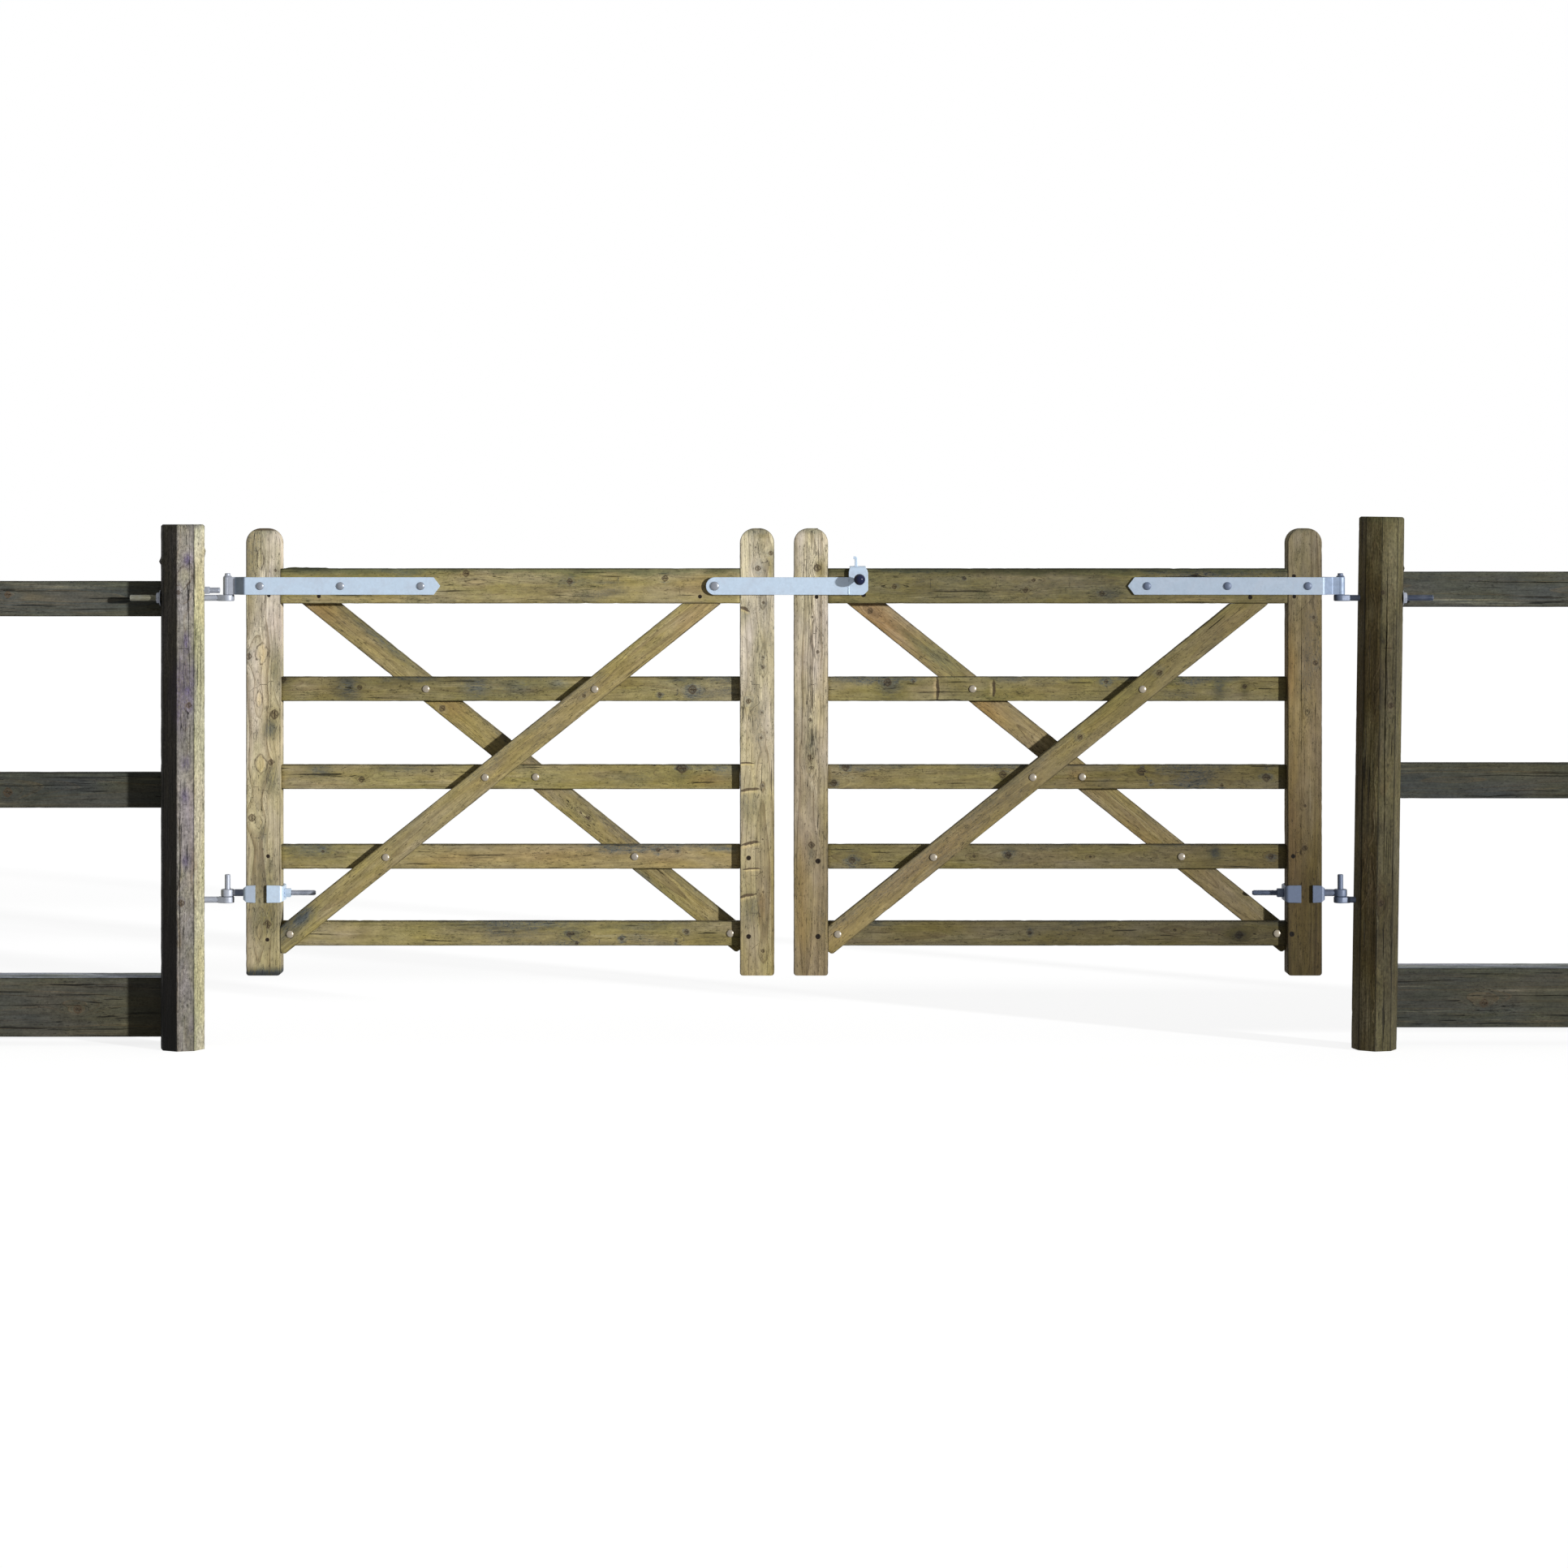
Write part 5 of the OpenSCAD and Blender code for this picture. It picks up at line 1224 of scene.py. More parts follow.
def turned(base, axis, profile, n=40, shape=None, closed=False):
    """Turned piece. profile is rows of distance along the axis and radius; shape may change a radius
    by its angle and distance"""
    axis = np.array(Vector(axis).normalized())
    side = np.array(X if abs(axis[2]) > 0.9 else Z)
    other = np.cross(axis, side)
    angle = np.linspace(0, 2 * math.pi, n, endpoint=False)
    x, r = np.array(profile).T
    radius = np.repeat(r[:, None], n, 1)
    if shape:
        radius = shape(angle[None, :], x[:, None], radius)
    round_ = np.cos(angle)[:, None] * side + np.sin(angle)[:, None] * other
    rings = np.array(base) + x[:, None, None] * axis + radius[..., None] * round_
    return skin(rings, closed)


def bar(base, axis, length, radius, ease=0.0008, n=32):
    """Plain round bar with eased ends"""
    rows = [(0, radius - ease), (ease, radius), (length - ease, radius), (length, radius - ease)]
    return turned(base, axis, rows, n)


def collar(base, axis, length, radius, bore, ease, n=48):
    """Round eye or washer with a bore"""
    t = np.radians((0, 30, 60, 90))
    far = [(length - ease + ease * math.sin(a), radius - ease + ease * math.cos(a)) for a in t]
    near = [(ease - ease * math.sin(a), radius - ease + ease * math.cos(a)) for a in t[::-1]]
    rim = min(0.0006, ease)
    inside = [(length, bore + rim), (length - rim, bore), (rim, bore), (0, bore + rim)]
    return turned(base, axis, near + far + inside, n, closed=True)


def threaded(base, axis, length, radius, tip=0.0):
    """Rolled thread, run out at both ends; tip is the length of its bevelled end"""
    pitch = steel().pitch
    x = np.linspace(0, length, max(8, round(length / pitch * 6)))

    def screw(angle, x, r):
        turn = (x / pitch - angle / (2 * math.pi)) % 1
        cut = np.clip(1.2 - np.abs(turn * 2 - 1) * 1.6, 0, 1)
        out = np.clip(np.minimum(x, length - x) / pitch, 0, 1)
        return r - THREAD_DEPTH * pitch * cut * out

    r = np.full_like(x, radius)
    if tip:
        r -= np.clip((x - length + tip) / tip, 0, 1) * tip * 0.5
    return turned(base, axis, np.stack([x, r], -1), 30, screw)


def nut(base, axis, flats, thick):
    """Hexagon nut with chamfered corners, solid because its thread is full"""
    corner = flats / 2 / math.cos(math.radians(30))
    face = flats * NUT_FACE
    c = (corner - face) * 0.577

    def hexagon(angle, x, r):
        return np.minimum(r, flats / 2 / np.cos((angle + math.pi / 6) % (math.pi / 3) - math.pi / 6))

    rows = [(0, face), (c, corner), (thick - c, corner), (thick, face)]
    return turned(base, axis, rows, 48, hexagon)


def dome(base, axis, width, rise):
    """Domed head with a rolled edge"""
    r = width / 2
    lip = rise * 0.18
    arc = [(lip + (rise - lip) * math.sin(a), r * math.cos(a)) for a in np.radians(np.linspace(6, 88, 12))]
    return turned(base, axis, [(0, r * 0.95), (lip * 0.35, r * 0.99), (lip, r)] + arc, 40)


def coach_bolt(x, z, bearing, back, end, rise, width, shank):
    """Coach bolt along the depth of the gate: its head on the bearing, its nut on the back and the end
    of its thread"""
    thick = shank * NUT_DEPTH
    return [dome((x, bearing, z), -Y, width, rise), nut((x, back, z), Y, shank * NUT_WIDTH, thick),
            threaded((x, back + thick, z), Y, end - back - thick, shank / 2)]


def bend(points, radius, steps=6):
    """Rounds the corners of a line in a plane: rows of point and the direction to its left"""
    points = [Vector(p) for p in points]
    rows = []
    for k, p in enumerate(points):
        a = (p - points[k - 1]).normalized() if k else None
        b = (points[k + 1] - p).normalized() if k < len(points) - 1 else None
        if a is None or b is None:
            d = b or a
            rows.append((*p, -d.y, d.x))
            continue
        turn = math.atan2(a.x * b.y - a.y * b.x, a.dot(b))
        back = radius * math.tan(abs(turn) / 2)
        start, side = p - a * back, math.copysign(1, turn)
        centre = start + Vector((-a.y, a.x)) * radius * side
        for t in np.linspace(0, turn, steps + 1):
            d = Vector((a.x * math.cos(t) - a.y * math.sin(t), a.x * math.sin(t) + a.y * math.cos(t)))
            left = Vector((-d.y, d.x))
            rows.append((*(centre - left * radius * side), *left))
    return rows


def flat_bar(rows, plane, thick, edge=0.0009):
    """Flat bar rolled along a line. rows are point, direction to the left, and the reach of the bar on
    both sides of the plane; plane is the base and the plane's two directions"""
    base, u, v = [np.array(p, float) for p in plane]
    w = np.cross(u, v)
    h = thick / 2
    arc = np.radians((0, 45, 90))
    rings = []
    for x, y, nx, ny, low, high in rows:
        e = min(edge, (high - low) * 0.45)
        ring = []
        for side, level, start in ((1, high, 0), (-1, high, 1), (-1, low, 2), (1, low, 3)):
            for a in arc:
                c, s = (math.cos(a), math.sin(a)) if start % 2 == 0 else (math.sin(a), math.cos(a))
                out = side * (h - e + e * c)
                lift = level + (-e + e * s if level == high else e - e * s)
                ring.append((out, lift))
        at = base + x * u + y * v
        across = nx * u + ny * v
        rings.append([at + o * across + l * w for o, l in ring])
    return skin(rings)


def plate(outline, plane, thick, edge=EDGE):
    """Plate with a convex outline and rounded edges, lying on a plane and rising from its base"""
    base, u, v = [np.array(p, float) for p in plane]
    w = np.cross(u, v)
    outline = np.array(outline)
    along = np.roll(outline, -1, 0) - np.roll(outline, 1, 0)
    along /= np.linalg.norm(along, axis=1)[:, None]
    inward = np.stack([-along[:, 1], along[:, 0]], -1)
    rings = []
    for level, side in [(a, 0) for a in (90, 60, 30, 0)] + [(a, 1) for a in (0, 30, 60, 90)]:
        a = math.radians(level)
        lift = edge * (1 - math.sin(a))
        flat = outline + inward * edge * (1 - math.cos(a))
        lift = thick - lift if side else lift
        rings.append(base + flat[:, :1] * u + flat[:, 1:] * v + lift * w)
    return skin(rings)


def weld(points, radius, seed):
    """Rippled bead of weld along a line"""
    a, b = [np.array(p, float) for p in points]
    long = float(np.linalg.norm(b - a))
    x = np.linspace(0, long, max(6, round(long / 0.0007)))
    rng = np.random.default_rng(seed)
    drift = smooth_line(rng, x, 0.006, 0.18)
    end = np.sqrt(np.clip(np.minimum(x, long - x) / radius, 0.04, 1))
    r = radius * (1 + drift + 0.10 * np.abs(np.sin(x * 1300))) * end
    return turned(a, b - a, np.stack([x, r], -1), 14)


def steel_object(name, parts, material, *nodes, leaf=None, body=None, slot=None, fold=38, others=()):
    """One object from steel parts. With a leaf, they are drawn from its hinge pin. others are materials
    for the faces between two distances from it"""
    shift = np.cumsum([0] + [len(p[0]) for p in parts])
    points = np.vstack([p[0] for p in parts])
    faces = [[i + k for i in f] for p, k in zip(parts, shift.tolist()) for f in p[1]]
    middles = [points[f, 0].mean() for f in faces]
    if leaf:
        pin, hand = hinge(leaf)
        points = points * (hand, 1, 1) + (pin, 0, 0)
    mesh = bpy.data.meshes.new(name)
    mesh.from_pydata(points.tolist(), [], faces)
    form = bmesh.new()
    form.from_mesh(mesh)
    bmesh.ops.recalc_face_normals(form, faces=form.faces[:])
    form.to_mesh(mesh)
    form.free()
    mesh.shade_smooth()
    mesh.set_sharp_from_angle(angle=math.radians(fold))
    mesh.materials.append(bpy.data.materials[material])
    for k, (other, first, last) in enumerate(others, 1):
        mesh.materials.append(bpy.data.materials[other])
        for face, middle in zip(mesh.polygons, middles):
            if first < middle < last:
                face.material_index = k
    piece = settle(name, mesh, *nodes, body=body, slot=slot)
    flats = piece.modifiers.new("flat faces", "WEIGHTED_NORMAL")
    flats.keep_sharp = True


def hinge(leaf):
    """Where a leaf's hinge pins stand along the gate, and its hand"""
    joint = next(j for j in frame["record"]["behaviour"]["joints"] if j["child"] == f"{leaf}_leaf")
    return joint["pos_m"][0], 1 if leaf == "left" else -1


def hung_box(node, leaf):
    """Box of a node, measured from the leaf's hinge pin"""
    pin, hand = hinge(leaf)
    low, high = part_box(node)
    near, far = sorted((hand * (low.x - pin), hand * (high.x - pin)))
    return Vector((near, low.y, low.z)), Vector((far, high.y, high.z))


class GATE_OT_bands(bpy.types.Operator):
    """Builds the top hinge bands with their cranked straps, and the bolts through them"""
    bl_idname = "gate.bands"
    bl_label = "Top bands"

    def execute(self, context):
        for leaf, zinc, eye_zinc in (("left", "strap_zinc", "hook_zinc"),
                                     ("right", "dull_strap_zinc", "shaded_zinc")):
            low, high = hung_box(f"{leaf}_top_band", leaf)
            stile, _ = hung_box(f"{leaf}_hanging_stile", leaf)
            thick = stile.y - low.y
            r = -low.x
            bore = r - thick + EYE_THIN
            tall = (high.z - low.z) / 2
            base = (0, 0, low.z + tall)
            foot = stile.x - steel().crank
            parts = [collar((0, 0, low.z), Z, 2 * tall, r, bore, ease=EDGE)]
            for side in (-1, 1):
                line = [(STRAP_START, r - thick / 2), (foot + CRANK_START, r - thick / 2),
                        (stile.x - CRANK_END, thick / 2 - stile.y), (high.x, thick / 2 - stile.y)]
                rows = [(*row, -tall, tall) for row in bend([(x, side * y) for x, y in line], thick * 1.35)]
                tip = rows.pop()
                point = steel().point
                for back, reach in ((point, 1.0), *BLUNT_TIP):
                    rows.append((high.x - back, *tip[1:4], -tall * reach, tall * reach))
                parts.append(flat_bar(rows, (base, X, Y), thick, edge=EDGE))
                at = math.sqrt(r * r - (r - thick) ** 2) + SEAM_PAST
                y = side * (r - thick - SEAM_IN)
                seam = [(at, y, low.z + SEAM_INSET), (at, y, high.z - SEAM_INSET)]
                parts.append(weld(seam, WELD, seed=7 + side))
            # The crank gets shaded zinc: painted shade where it turns away from the sun. The right leaf's eye is
            # given the same darker zinc
            shade = at + SEAM_SHADE
            steel_object(f"{leaf}_band_steel", parts, zinc, f"{leaf}_top_band", leaf=leaf,
                         others=[(eye_zinc, -1, shade), ("shaded_zinc", shade, stile.x - CRANK_END)])

            first, last = hung_box(f"{leaf}_band_bolts", leaf)
            width = last.z - first.z
            z = (first.z + last.z) / 2
            parts = []
            for x in np.linspace(first.x + width / 2, last.x - width / 2, 3):
                parts += coach_bolt(x, z, low.y, high.y, last.y, low.y - first.y, width * 0.94, width / 2)
            heads = "head_zinc" if leaf == "left" else "slate_zinc"
            steel_object(f"{leaf}_band_bolt_heads", parts, heads, f"{leaf}_band_bolts", leaf=leaf)
        return {"FINISHED"}


class GATE_OT_brace_bolts(bpy.types.Operator):
    """Builds the coach bolts where the braces cross the rails"""
    bl_idname = "gate.brace_bolts"
    bl_label = "Brace bolts"

    def execute(self, context):
        for leaf in LEAVES:
            low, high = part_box(f"{leaf}_brace_bolts")
            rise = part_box(f"{leaf}_front_brace")[0].y - low.y
            proud = high.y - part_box(f"{leaf}_back_brace")[1].y
            shank = (proud - BOLT_END) / NUT_DEPTH
            parts = []
            for side in ("front", "back"):
                base, run = brace_line(f"{leaf}_{side}_brace")[:2]
                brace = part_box(f"{leaf}_{side}_brace")
                for rail in ("second", "third", "fourth", "bottom"):
                    a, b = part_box(f"{leaf}_{rail}_rail")
                    z = (a.z + b.z) / 2
                    x = base.x + run.x * (z - base.z) / run.z
                    bearing = min(a.y, brace[0].y)
                    back = max(b.y, brace[1].y)
                    parts += coach_bolt(x, z, bearing, back, back + proud, rise, steel().brace_head, shank)
            steel_object(f"{leaf}_brace_bolt_heads", parts, "brown_head_zinc", f"{leaf}_brace_bolts")
        return {"FINISHED"}


class GATE_OT_bottom_fittings(bpy.types.Operator):
    """Builds the bottom eye bolts, and the stirrups and nuts that clamp them to the stiles"""
    bl_idname = "gate.bottom_fittings"
    bl_label = "Bottom fittings"

    def execute(self, context):
        for leaf, zinc, flap_zinc, shank_zinc in (("left", "strap_zinc", "dull_strap_zinc", "hook_zinc"),
                                                  ("right", "slate_zinc", "slate_zinc", "slate_zinc")):
            low, high = hung_box(f"{leaf}_bottom_eye", leaf)
            first, last = hung_box(f"{leaf}_stirrups", leaf)
            stile, inner = hung_box(f"{leaf}_hanging_stile", leaf)
            r = -low.x
            z = (low.z + high.z) / 2
            thick = stile.x - first.x
            bore = steel().pin / 2
            neck = steel().neck / 2
            tail = inner.x + THREAD_START
            throat = [(x, neck * wide) for x, wide in THROAT] + [(first.x - bore, neck)]
            seam = [(r - EYE_EDGE, side * neck * 0.8, z - neck * 0.7) for side in (-1, 1)]
            parts = [
                collar((0, 0, low.z), Z, high.z - low.z, r, bore, ease=EYE_EDGE),
                turned((bore + SUNK, 0, z), X, throat, n=32),
                bar((stile.x - SUNK, 0, z), X, tail - stile.x, radius=bore - 0.0004),
                threaded((tail, 0, z), X, high.x - tail, radius=bore - 0.0002, tip=0.005),
                weld(seam, WELD, seed=3),
            ]
            # The neck between the eye and the stirrup gets the dark thread zinc: painted shade, where the stirrup
            # keeps the sun off it
            steel_object(f"{leaf}_eye_bolt", parts, shank_zinc, f"{leaf}_bottom_eye", leaf=leaf,
                         others=[("thread_zinc", r + 0.0005, first.x + 0.001)])

            co = solid_points(f"{leaf}_stirrups")
            pin_x, hand = hinge(leaf)
            front = (co[co[:, 1] < first.y + TOUCH, 0] - pin_x) * hand
            middle = (stile.x + inner.x) / 2
            reach = front[front < middle].max(), front[front > middle].min()
            tall = (last.z - first.z) / 2
            y = -stile.y + thick / 2
            parts = []
            for edge, way, flap, waist in ((stile.x, 1, reach[0], steel().outer_waist),
                                           (inner.x, -1, reach[1], steel().inner_waist)):
                web = edge - way * thick / 2
                line = [(flap, -y), (web, -y), (web, y), (flap, y)]
                rows = []
                for row in bend(line, thick * 0.85, steps=8):
                    f = min(1.0, max(0.0, (way * (row[0] - edge) + thick) / (thick + WAIST_RUN)))
                    half = waist / 2 * (1 - f) + tall * f
                    rows.append((*row, -half, half))
                for end in (0, -1):
                    row = rows[end]
                    rows.insert(1 if end == 0 else len(rows) - 1, (row[0] - way * FLAP_END, *row[1:]))
                    rows[end] = (*row[:4], row[4] + FLAP_ROUND, row[5] - FLAP_ROUND)
                parts.append(flat_bar(rows, ((0, 0, z), X, Y), thick, edge=STIRRUP_EDGE))
            parts.append(nut((inner.x + thick, 0, z), X, steel().shank_nut, last.x - inner.x - thick))
            steel_object(f"{leaf}_stirrup_steel", parts, zinc, f"{leaf}_stirrups", leaf=leaf,
                         others=[(flap_zinc, -1, middle)])
        return {"FINISHED"}


class GATE_OT_hooks(bpy.types.Operator):
    """Builds the hinge hooks with their noses, pins and threaded tails, and the nuts on the posts"""
    bl_idname = "gate.hooks"
    bl_label = "Hinge hooks"

    def execute(self, context):
        # The left hook's tail is painted khaki as sunlight; the right one's gets the dark thread zinc
        for leaf, zinc, tail_zinc in (("left", "hook_zinc", "pale_tail_zinc"),
                                      ("right", "slate_zinc", "thread_zinc")):
            pin = steel().pin / 2 - SLACK
            for level in ("top", "bottom"):
                node = f"{leaf}_{level}_hook"
                low, high = hung_box(node, leaf)
                half = high.x
                eye, _ = hung_box(f"{leaf}_top_band" if level == "top" else f"{leaf}_bottom_eye", leaf)
                nose = eye.z - low.z - EYE_PLAY
                arm = nose / 2
                post = hung_box(f"{leaf}_post", leaf)
                back = steel().nose
                turn = math.atan2(half - arm, back) + math.radians(6)
                outline = [(half * math.cos(a), half * math.sin(a))
                           for a in np.linspace(-math.pi / 2 - turn * 0.6, math.pi / 2 + turn * 0.6, 33)]
                outline += [(-back, arm), (-back, -arm)]
                parts = [
                    plate(outline, ((0, 0, low.z), X, Y), nose, edge=NOSE_EDGE),
                    turned((0, 0, low.z + nose - PIN_SUNK), Z, [(0, pin + EDGE), (EDGE, pin)] + [
                        (high.z - low.z - nose + PIN_SUNK - down, pin - worn) for down, worn in PIN_TIP], n=36),
                ]
                z = low.z + arm
                if level == "bottom":
                    parts.append(bar((SUNK - back, 0, z), -X, -low.x - back, radius=arm - SLACK))
                    steel_object(f"{leaf}_{level}_hook_steel", parts, zinc, node, leaf=leaf)
                    continue
                near, far = -post[1].x, -post[0].x
                gap = near - back
                parts.append(bar((SUNK - back, 0, z), -X, gap + (far - near) / 2, radius=arm - 0.0004))
                parts.append(turned((0, 0, hung_box(f"{leaf}_top_band", leaf)[1].z + EYE_PLAY), Z,
                                    [(rise, pin + reach) for rise, reach in PIN_COLLAR], n=36))
                steel_object(f"{leaf}_{level}_hook_steel", parts, zinc, node, leaf=leaf)
                long = TAIL_SUNK - low.x - far
                tail = [threaded((TAIL_SUNK - far, 0, z), -X, long, radius=arm - SLACK, tip=0.002)]
                steel_object(f"{leaf}_hook_tail", tail, tail_zinc, leaf=leaf, body="posts", slot=SLOT[node])

            low, high = hung_box(f"{leaf}_hook_nuts", leaf)
            z = (low.z + high.z) / 2
            wide = high.z - low.z
            long = steel().nut_depth
            parts = [collar((low.x + long + WASHER, 0, z), -X, WASHER, wide / 2, wide * 0.21, ease=0.0005),
                     nut((low.x + long, 0, z), -X, steel().hook_nut, long)]
            if leaf == "left":
                # A second, thinner bolt shows above the arm on the gate's side of the post
                face, above = high.x - long - WASHER - 0.004, z + UPPER_RISE
                parts.append(nut((face, 0, above), X, *UPPER_NUT))
                stub = steel().nose * 1.1
                parts.append(threaded((face + 0.018, 0, above), X, stub, UPPER_RADIUS, tip=0.0015))
            steel_object(f"{leaf}_hook_nut_steel", parts, "hook_zinc", f"{leaf}_hook_nuts", leaf=leaf)
        return {"FINISHED"}


class GATE_OT_latch(bpy.types.Operator):
    """Builds the latch strap, its bent tongue and lug, the ball knob and the pivot bolt"""
    bl_idname = "gate.latch"
    bl_label = "Latch"

    def execute(self, context):
        low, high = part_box("latch_strap")
        r = (high.z - low.z) / 2
        thick = high.y - low.y
        z = low.z + r
        outline = [(high.x, -r), (high.x, r)] + [
            (low.x + r - r * math.sin(a), r * math.cos(a)) for a in np.linspace(0, math.pi, 37)]
        strap = plate(outline, ((0, high.y, z), X, Z), thick, edge=LATCH_EDGE)
        steel_object("latch_strap_steel", [strap], "strap_zinc", "latch_strap")

        first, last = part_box("latch_tongue")
        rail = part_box("right_top_rail")[1]
        top = rail.z + REST_GAP + thick / 2
        front = first.y + thick / 2
        line = bend([(front, first.z), (front, top), (last.y, top)], thick * 1.15, steps=8)
        rows = []
        cut = steel().tongue_cut
        for k, row in enumerate(line):
            narrow = math.sin(min(1.0, k / 4) * math.pi / 2)
            rows.append((*row, first.x + TONGUE_LEFT * narrow, last.x - TONGUE_RIGHT * narrow))
        foot, bent = rows[0], rows[1:]
        # The cut corner: how far up and how far in from the tongue's right side, in sizes of the cut
        climb = [(0.0, 1.05), (0.12, 0.82), (0.45, 0.42), (0.8, 0.10), (1.0, 0.0)]
        rows = [(foot[0], first.z + cut * up, *foot[2:4], first.x, last.x - cut * back) for up, back in climb]
        for down, narrow in ((0.008, 0.02), (0.004, 0.26)):
            rows.append((foot[0], bent[0][1] - down, *foot[2:4], first.x + TONGUE_LEFT * narrow,
                         last.x - TONGUE_RIGHT * narrow))
        rows += bent[:-1]
        end = bent[-1]
        rows += [(end[0] - 0.006, *end[1:]), (end[0] - 0.0015, *end[1:4], end[4] + 0.002, end[5] - 0.002),
                 (*end[:4], end[4] + 0.005, end[5] - 0.005)]
        tongue = flat_bar([(*row[:4], *sorted((row[4], row[5]))) for row in rows],
                          ((0, 0, 0), Y, Z), thick, edge=LATCH_EDGE)
        lug_x = first.x + steel().lug
        w = LUG_WIDTH
        y = front + thick + 0.002
        lug = [(lug_x, top), (lug_x, last.z - w * 0.45), (lug_x - w * 0.95, last.z - w * 0.3)]
        lug_rows = [(*row, y - thick / 2, y + thick / 2) for row in bend(lug, 0.003, steps=5)]
        # The plane's third direction runs towards the front, so the reach across it is turned over
        lug_rows = [(*row[:4], -row[5], -row[4]) for row in lug_rows]
        seam = [(first.x, first.y + 0.0004, first.z + rise) for rise in (0.001, 2 * r - 0.001)]
        lug_seam = [(lug_x + side * w * 0.7, y - thick / 2, top + thick / 2) for side in (-1, 1)]
        parts = [tongue, flat_bar(lug_rows, ((0, 0, 0), X, Z), w, edge=EDGE), weld(seam, TONGUE_BEAD, seed=5),
                 weld(lug_seam, LUG_BEAD, seed=6)]
        steel_object("latch_tongue_steel", parts, "strap_zinc", "latch_tongue")

        low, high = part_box("latch_knob")
        r = (high.z - low.z) / 2
        x, z = (low.x + high.x) / 2, (low.z + high.z) / 2
        out = high.y - low.y
        ball = out - r
        stem = r * 0.34
        rows = [(0, stem * 1.7), (0.0015, stem * 1.75), (0.0030, stem * 1.6), (0.0036, stem),
                (ball - r - 0.001, stem), (ball - r - 0.0008, stem * 1.55), (ball - r * 0.92, stem * 1.65)]
        rows += [(ball - r * math.cos(a), r * math.sin(a)) for a in np.radians(np.linspace(34, 178, 30))]
        steel_object("latch_ball", [turned((x, high.y, z), -Y, rows, n=48)], "knob_gloss", "latch_knob")

        low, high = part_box("latch_bolt")
        strap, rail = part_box("latch_strap"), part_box("left_top_rail")
        width = high.z - low.z
        x, z = (low.x + high.x) / 2, (low.z + high.z) / 2
        bearing = strap[0].y - REST_GAP
        parts = coach_bolt(x, z, bearing, rail[1].y, high.y, bearing - low.y, width * 1.06, width / 2)
        spacer = strap[1].y + REST_GAP
        parts.append(bar((x, spacer, z), Y, rail[0].y - spacer, width / 2))
        steel_object("latch_pivot", parts, "head_zinc", "latch_bolt")
        return {"FINISHED"}


# ---------- stage ----------

FLOOR = 60.0  # how far the floor reaches each way
FLOOR_GLOW = 0.84  # light that brings the floor up to plain white
SUN_WIDTH = math.radians(2.5)  # width of the sun's disc, which softens the shadows
SENSOR = 36.0  # width of the camera's sensor in millimetres


def shown_as(n, lighting, shown):
    """Mixes two shaders: one that lights the gate, and one that shows directly, in gloss and through glass"""
    rays = n.tree.nodes.new("ShaderNodeLightPath").outputs
    camera, glossy, through = [Value(n, rays[f"Is {kind} Ray"]) for kind in ("Camera", "Glossy", "Transmission")]
    return n.add("MixShader", camera.top(glossy).top(through), lighting, shown)


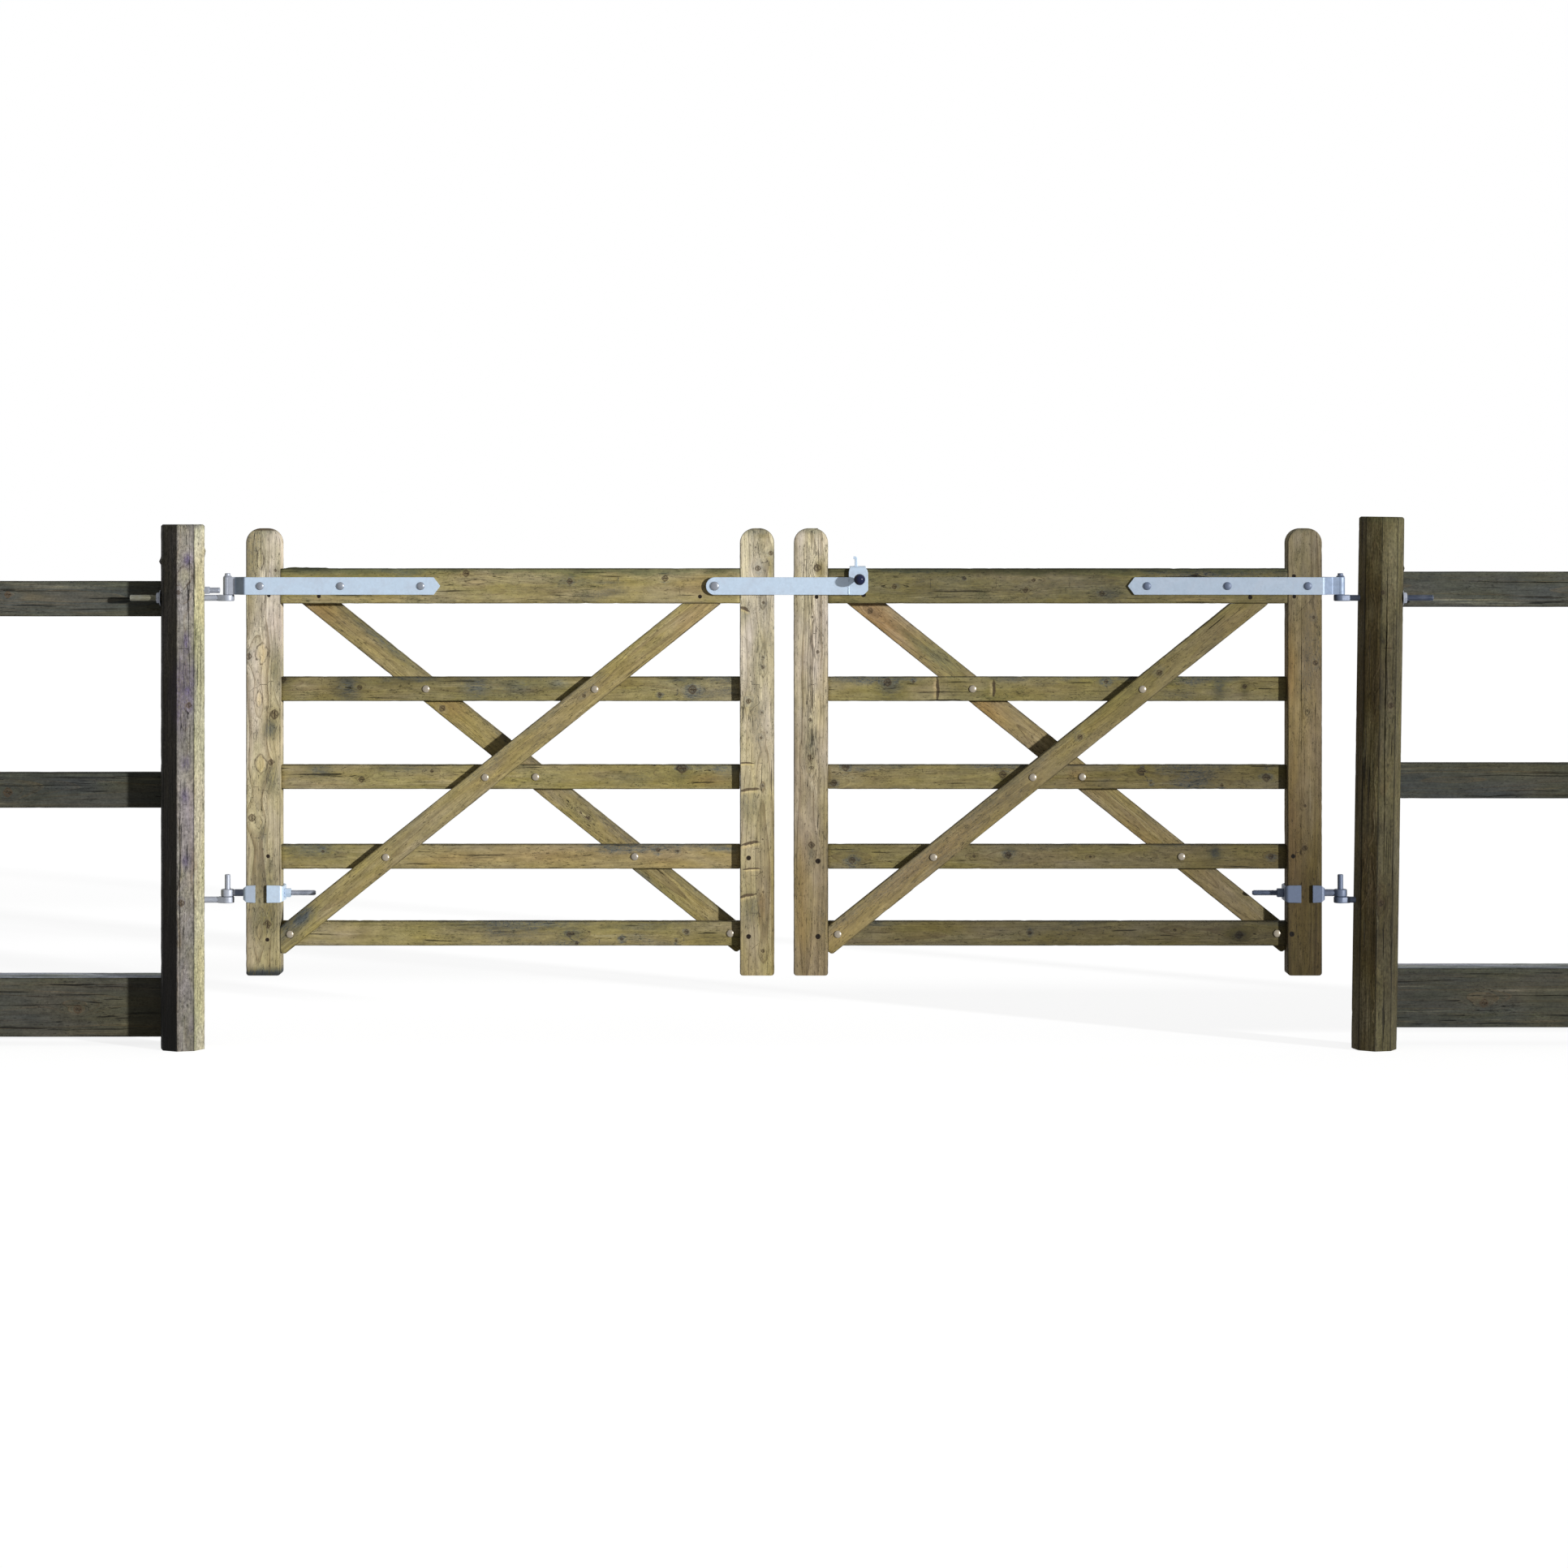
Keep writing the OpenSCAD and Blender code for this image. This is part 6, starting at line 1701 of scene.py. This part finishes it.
class GATE_OT_stage(bpy.types.Operator):
    """Lays the floor and sets the lamps, the white surroundings and the camera"""
    bl_idname = "gate.stage"
    bl_label = "Stage"

    def execute(self, context):
        s = stage()
        scene = bpy.context.scene
        scene.view_settings.view_transform = "Standard"

        mesh = bpy.data.meshes.new("floor")
        corners = [(x * FLOOR, y * FLOOR, 0) for x, y in ((-1, -1), (1, -1), (1, 1), (-1, 1))]
        mesh.from_pydata(corners, [], [(0, 1, 2, 3)])
        floor = bpy.data.objects.new("floor", mesh)
        scene.collection.objects.link(floor)
        material = bpy.data.materials.new("floor_white")
        n = empty_tree(material)
        matt = n.add("BsdfDiffuse", Color=(s.floor_keep,) * 3)
        glow = n.add("Emission", Color=WHITE, Strength=FLOOR_GLOW)
        n.end("Material", shown_as(n, matt, n.add("AddShader", matt, glow)))
        mesh.materials.append(material)

        scene.world = bpy.data.worlds.new("surroundings")
        n = empty_tree(scene.world)
        n.end("World", shown_as(n, n.add("Background", Color=WHITE, Strength=s.fill),
                                n.add("Background", Color=WHITE, Strength=1.0)))

        lamp = bpy.data.lights.new("sun", "SUN")
        lamp.energy = s.sun
        lamp.angle = SUN_WIDTH
        sun = bpy.data.objects.new("sun", lamp)
        up, side = s.sun_up, s.sun_side
        toward = Vector((math.sin(side) * math.cos(up), -math.cos(side) * math.cos(up), math.sin(up)))
        sun.rotation_euler = toward.to_track_quat("Z", "Y").to_euler()
        scene.collection.objects.link(sun)

        lens = bpy.data.cameras.new("camera")
        lens.sensor_width = SENSOR
        lens.lens = SENSOR * s.distance / s.width
        lens.shift_y = (s.middle - s.eye) / s.width
        lens.clip_end = 200
        camera = bpy.data.objects.new("camera", lens)
        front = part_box("left_hanging_stile")[0].y
        middle = (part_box("left_hanging_stile")[0].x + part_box("right_hanging_stile")[1].x) / 2
        camera.location = (middle, front - s.distance, s.eye)
        camera.rotation_euler = (math.radians(90), 0, 0)
        scene.collection.objects.link(camera)
        scene.camera = camera
        return {"FINISHED"}


OPERATORS = (
    GATE_OT_finishes, GATE_OT_stiles, GATE_OT_rails, GATE_OT_braces, GATE_OT_posts, GATE_OT_fence,
    GATE_OT_bands, GATE_OT_brace_bolts, GATE_OT_bottom_fittings, GATE_OT_hooks, GATE_OT_latch,
    GATE_OT_stage,
)


class GATE_PT_panel(bpy.types.Panel):
    """Lists the gate's pieces in the sidebar"""
    bl_idname = "GATE_PT_panel"
    bl_label = "Paddock Gate"
    bl_space_type = "VIEW_3D"
    bl_region_type = "UI"
    bl_category = "Gate"

    def draw(self, context):
        for group in (context.scene.gate_timber, context.scene.gate_steel, context.scene.gate_stage):
            box = self.layout.box()
            for name in group.bl_rna.properties.keys():
                if name not in ("rna_type", "name"):
                    box.prop(group, name)
        for operator in OPERATORS:
            self.layout.operator(operator.bl_idname)


GROUPS = (GateTimber, GateSteel, GateStage)


def register():
    for cls in (*GROUPS, *OPERATORS, GATE_PT_panel):
        bpy.utils.register_class(cls)
    bpy.types.Scene.gate_timber = bpy.props.PointerProperty(type=GateTimber)
    bpy.types.Scene.gate_steel = bpy.props.PointerProperty(type=GateSteel)
    bpy.types.Scene.gate_stage = bpy.props.PointerProperty(type=GateStage)


def unregister():
    del bpy.types.Scene.gate_timber
    del bpy.types.Scene.gate_steel
    del bpy.types.Scene.gate_stage
    for cls in reversed((*GROUPS, *OPERATORS, GATE_PT_panel)):
        bpy.utils.unregister_class(cls)


def main():
    register()
    for operator in OPERATORS:
        area, name = operator.bl_idname.split(".")
        getattr(getattr(bpy.ops, area), name)()


if __name__ == "__main__":
    main()
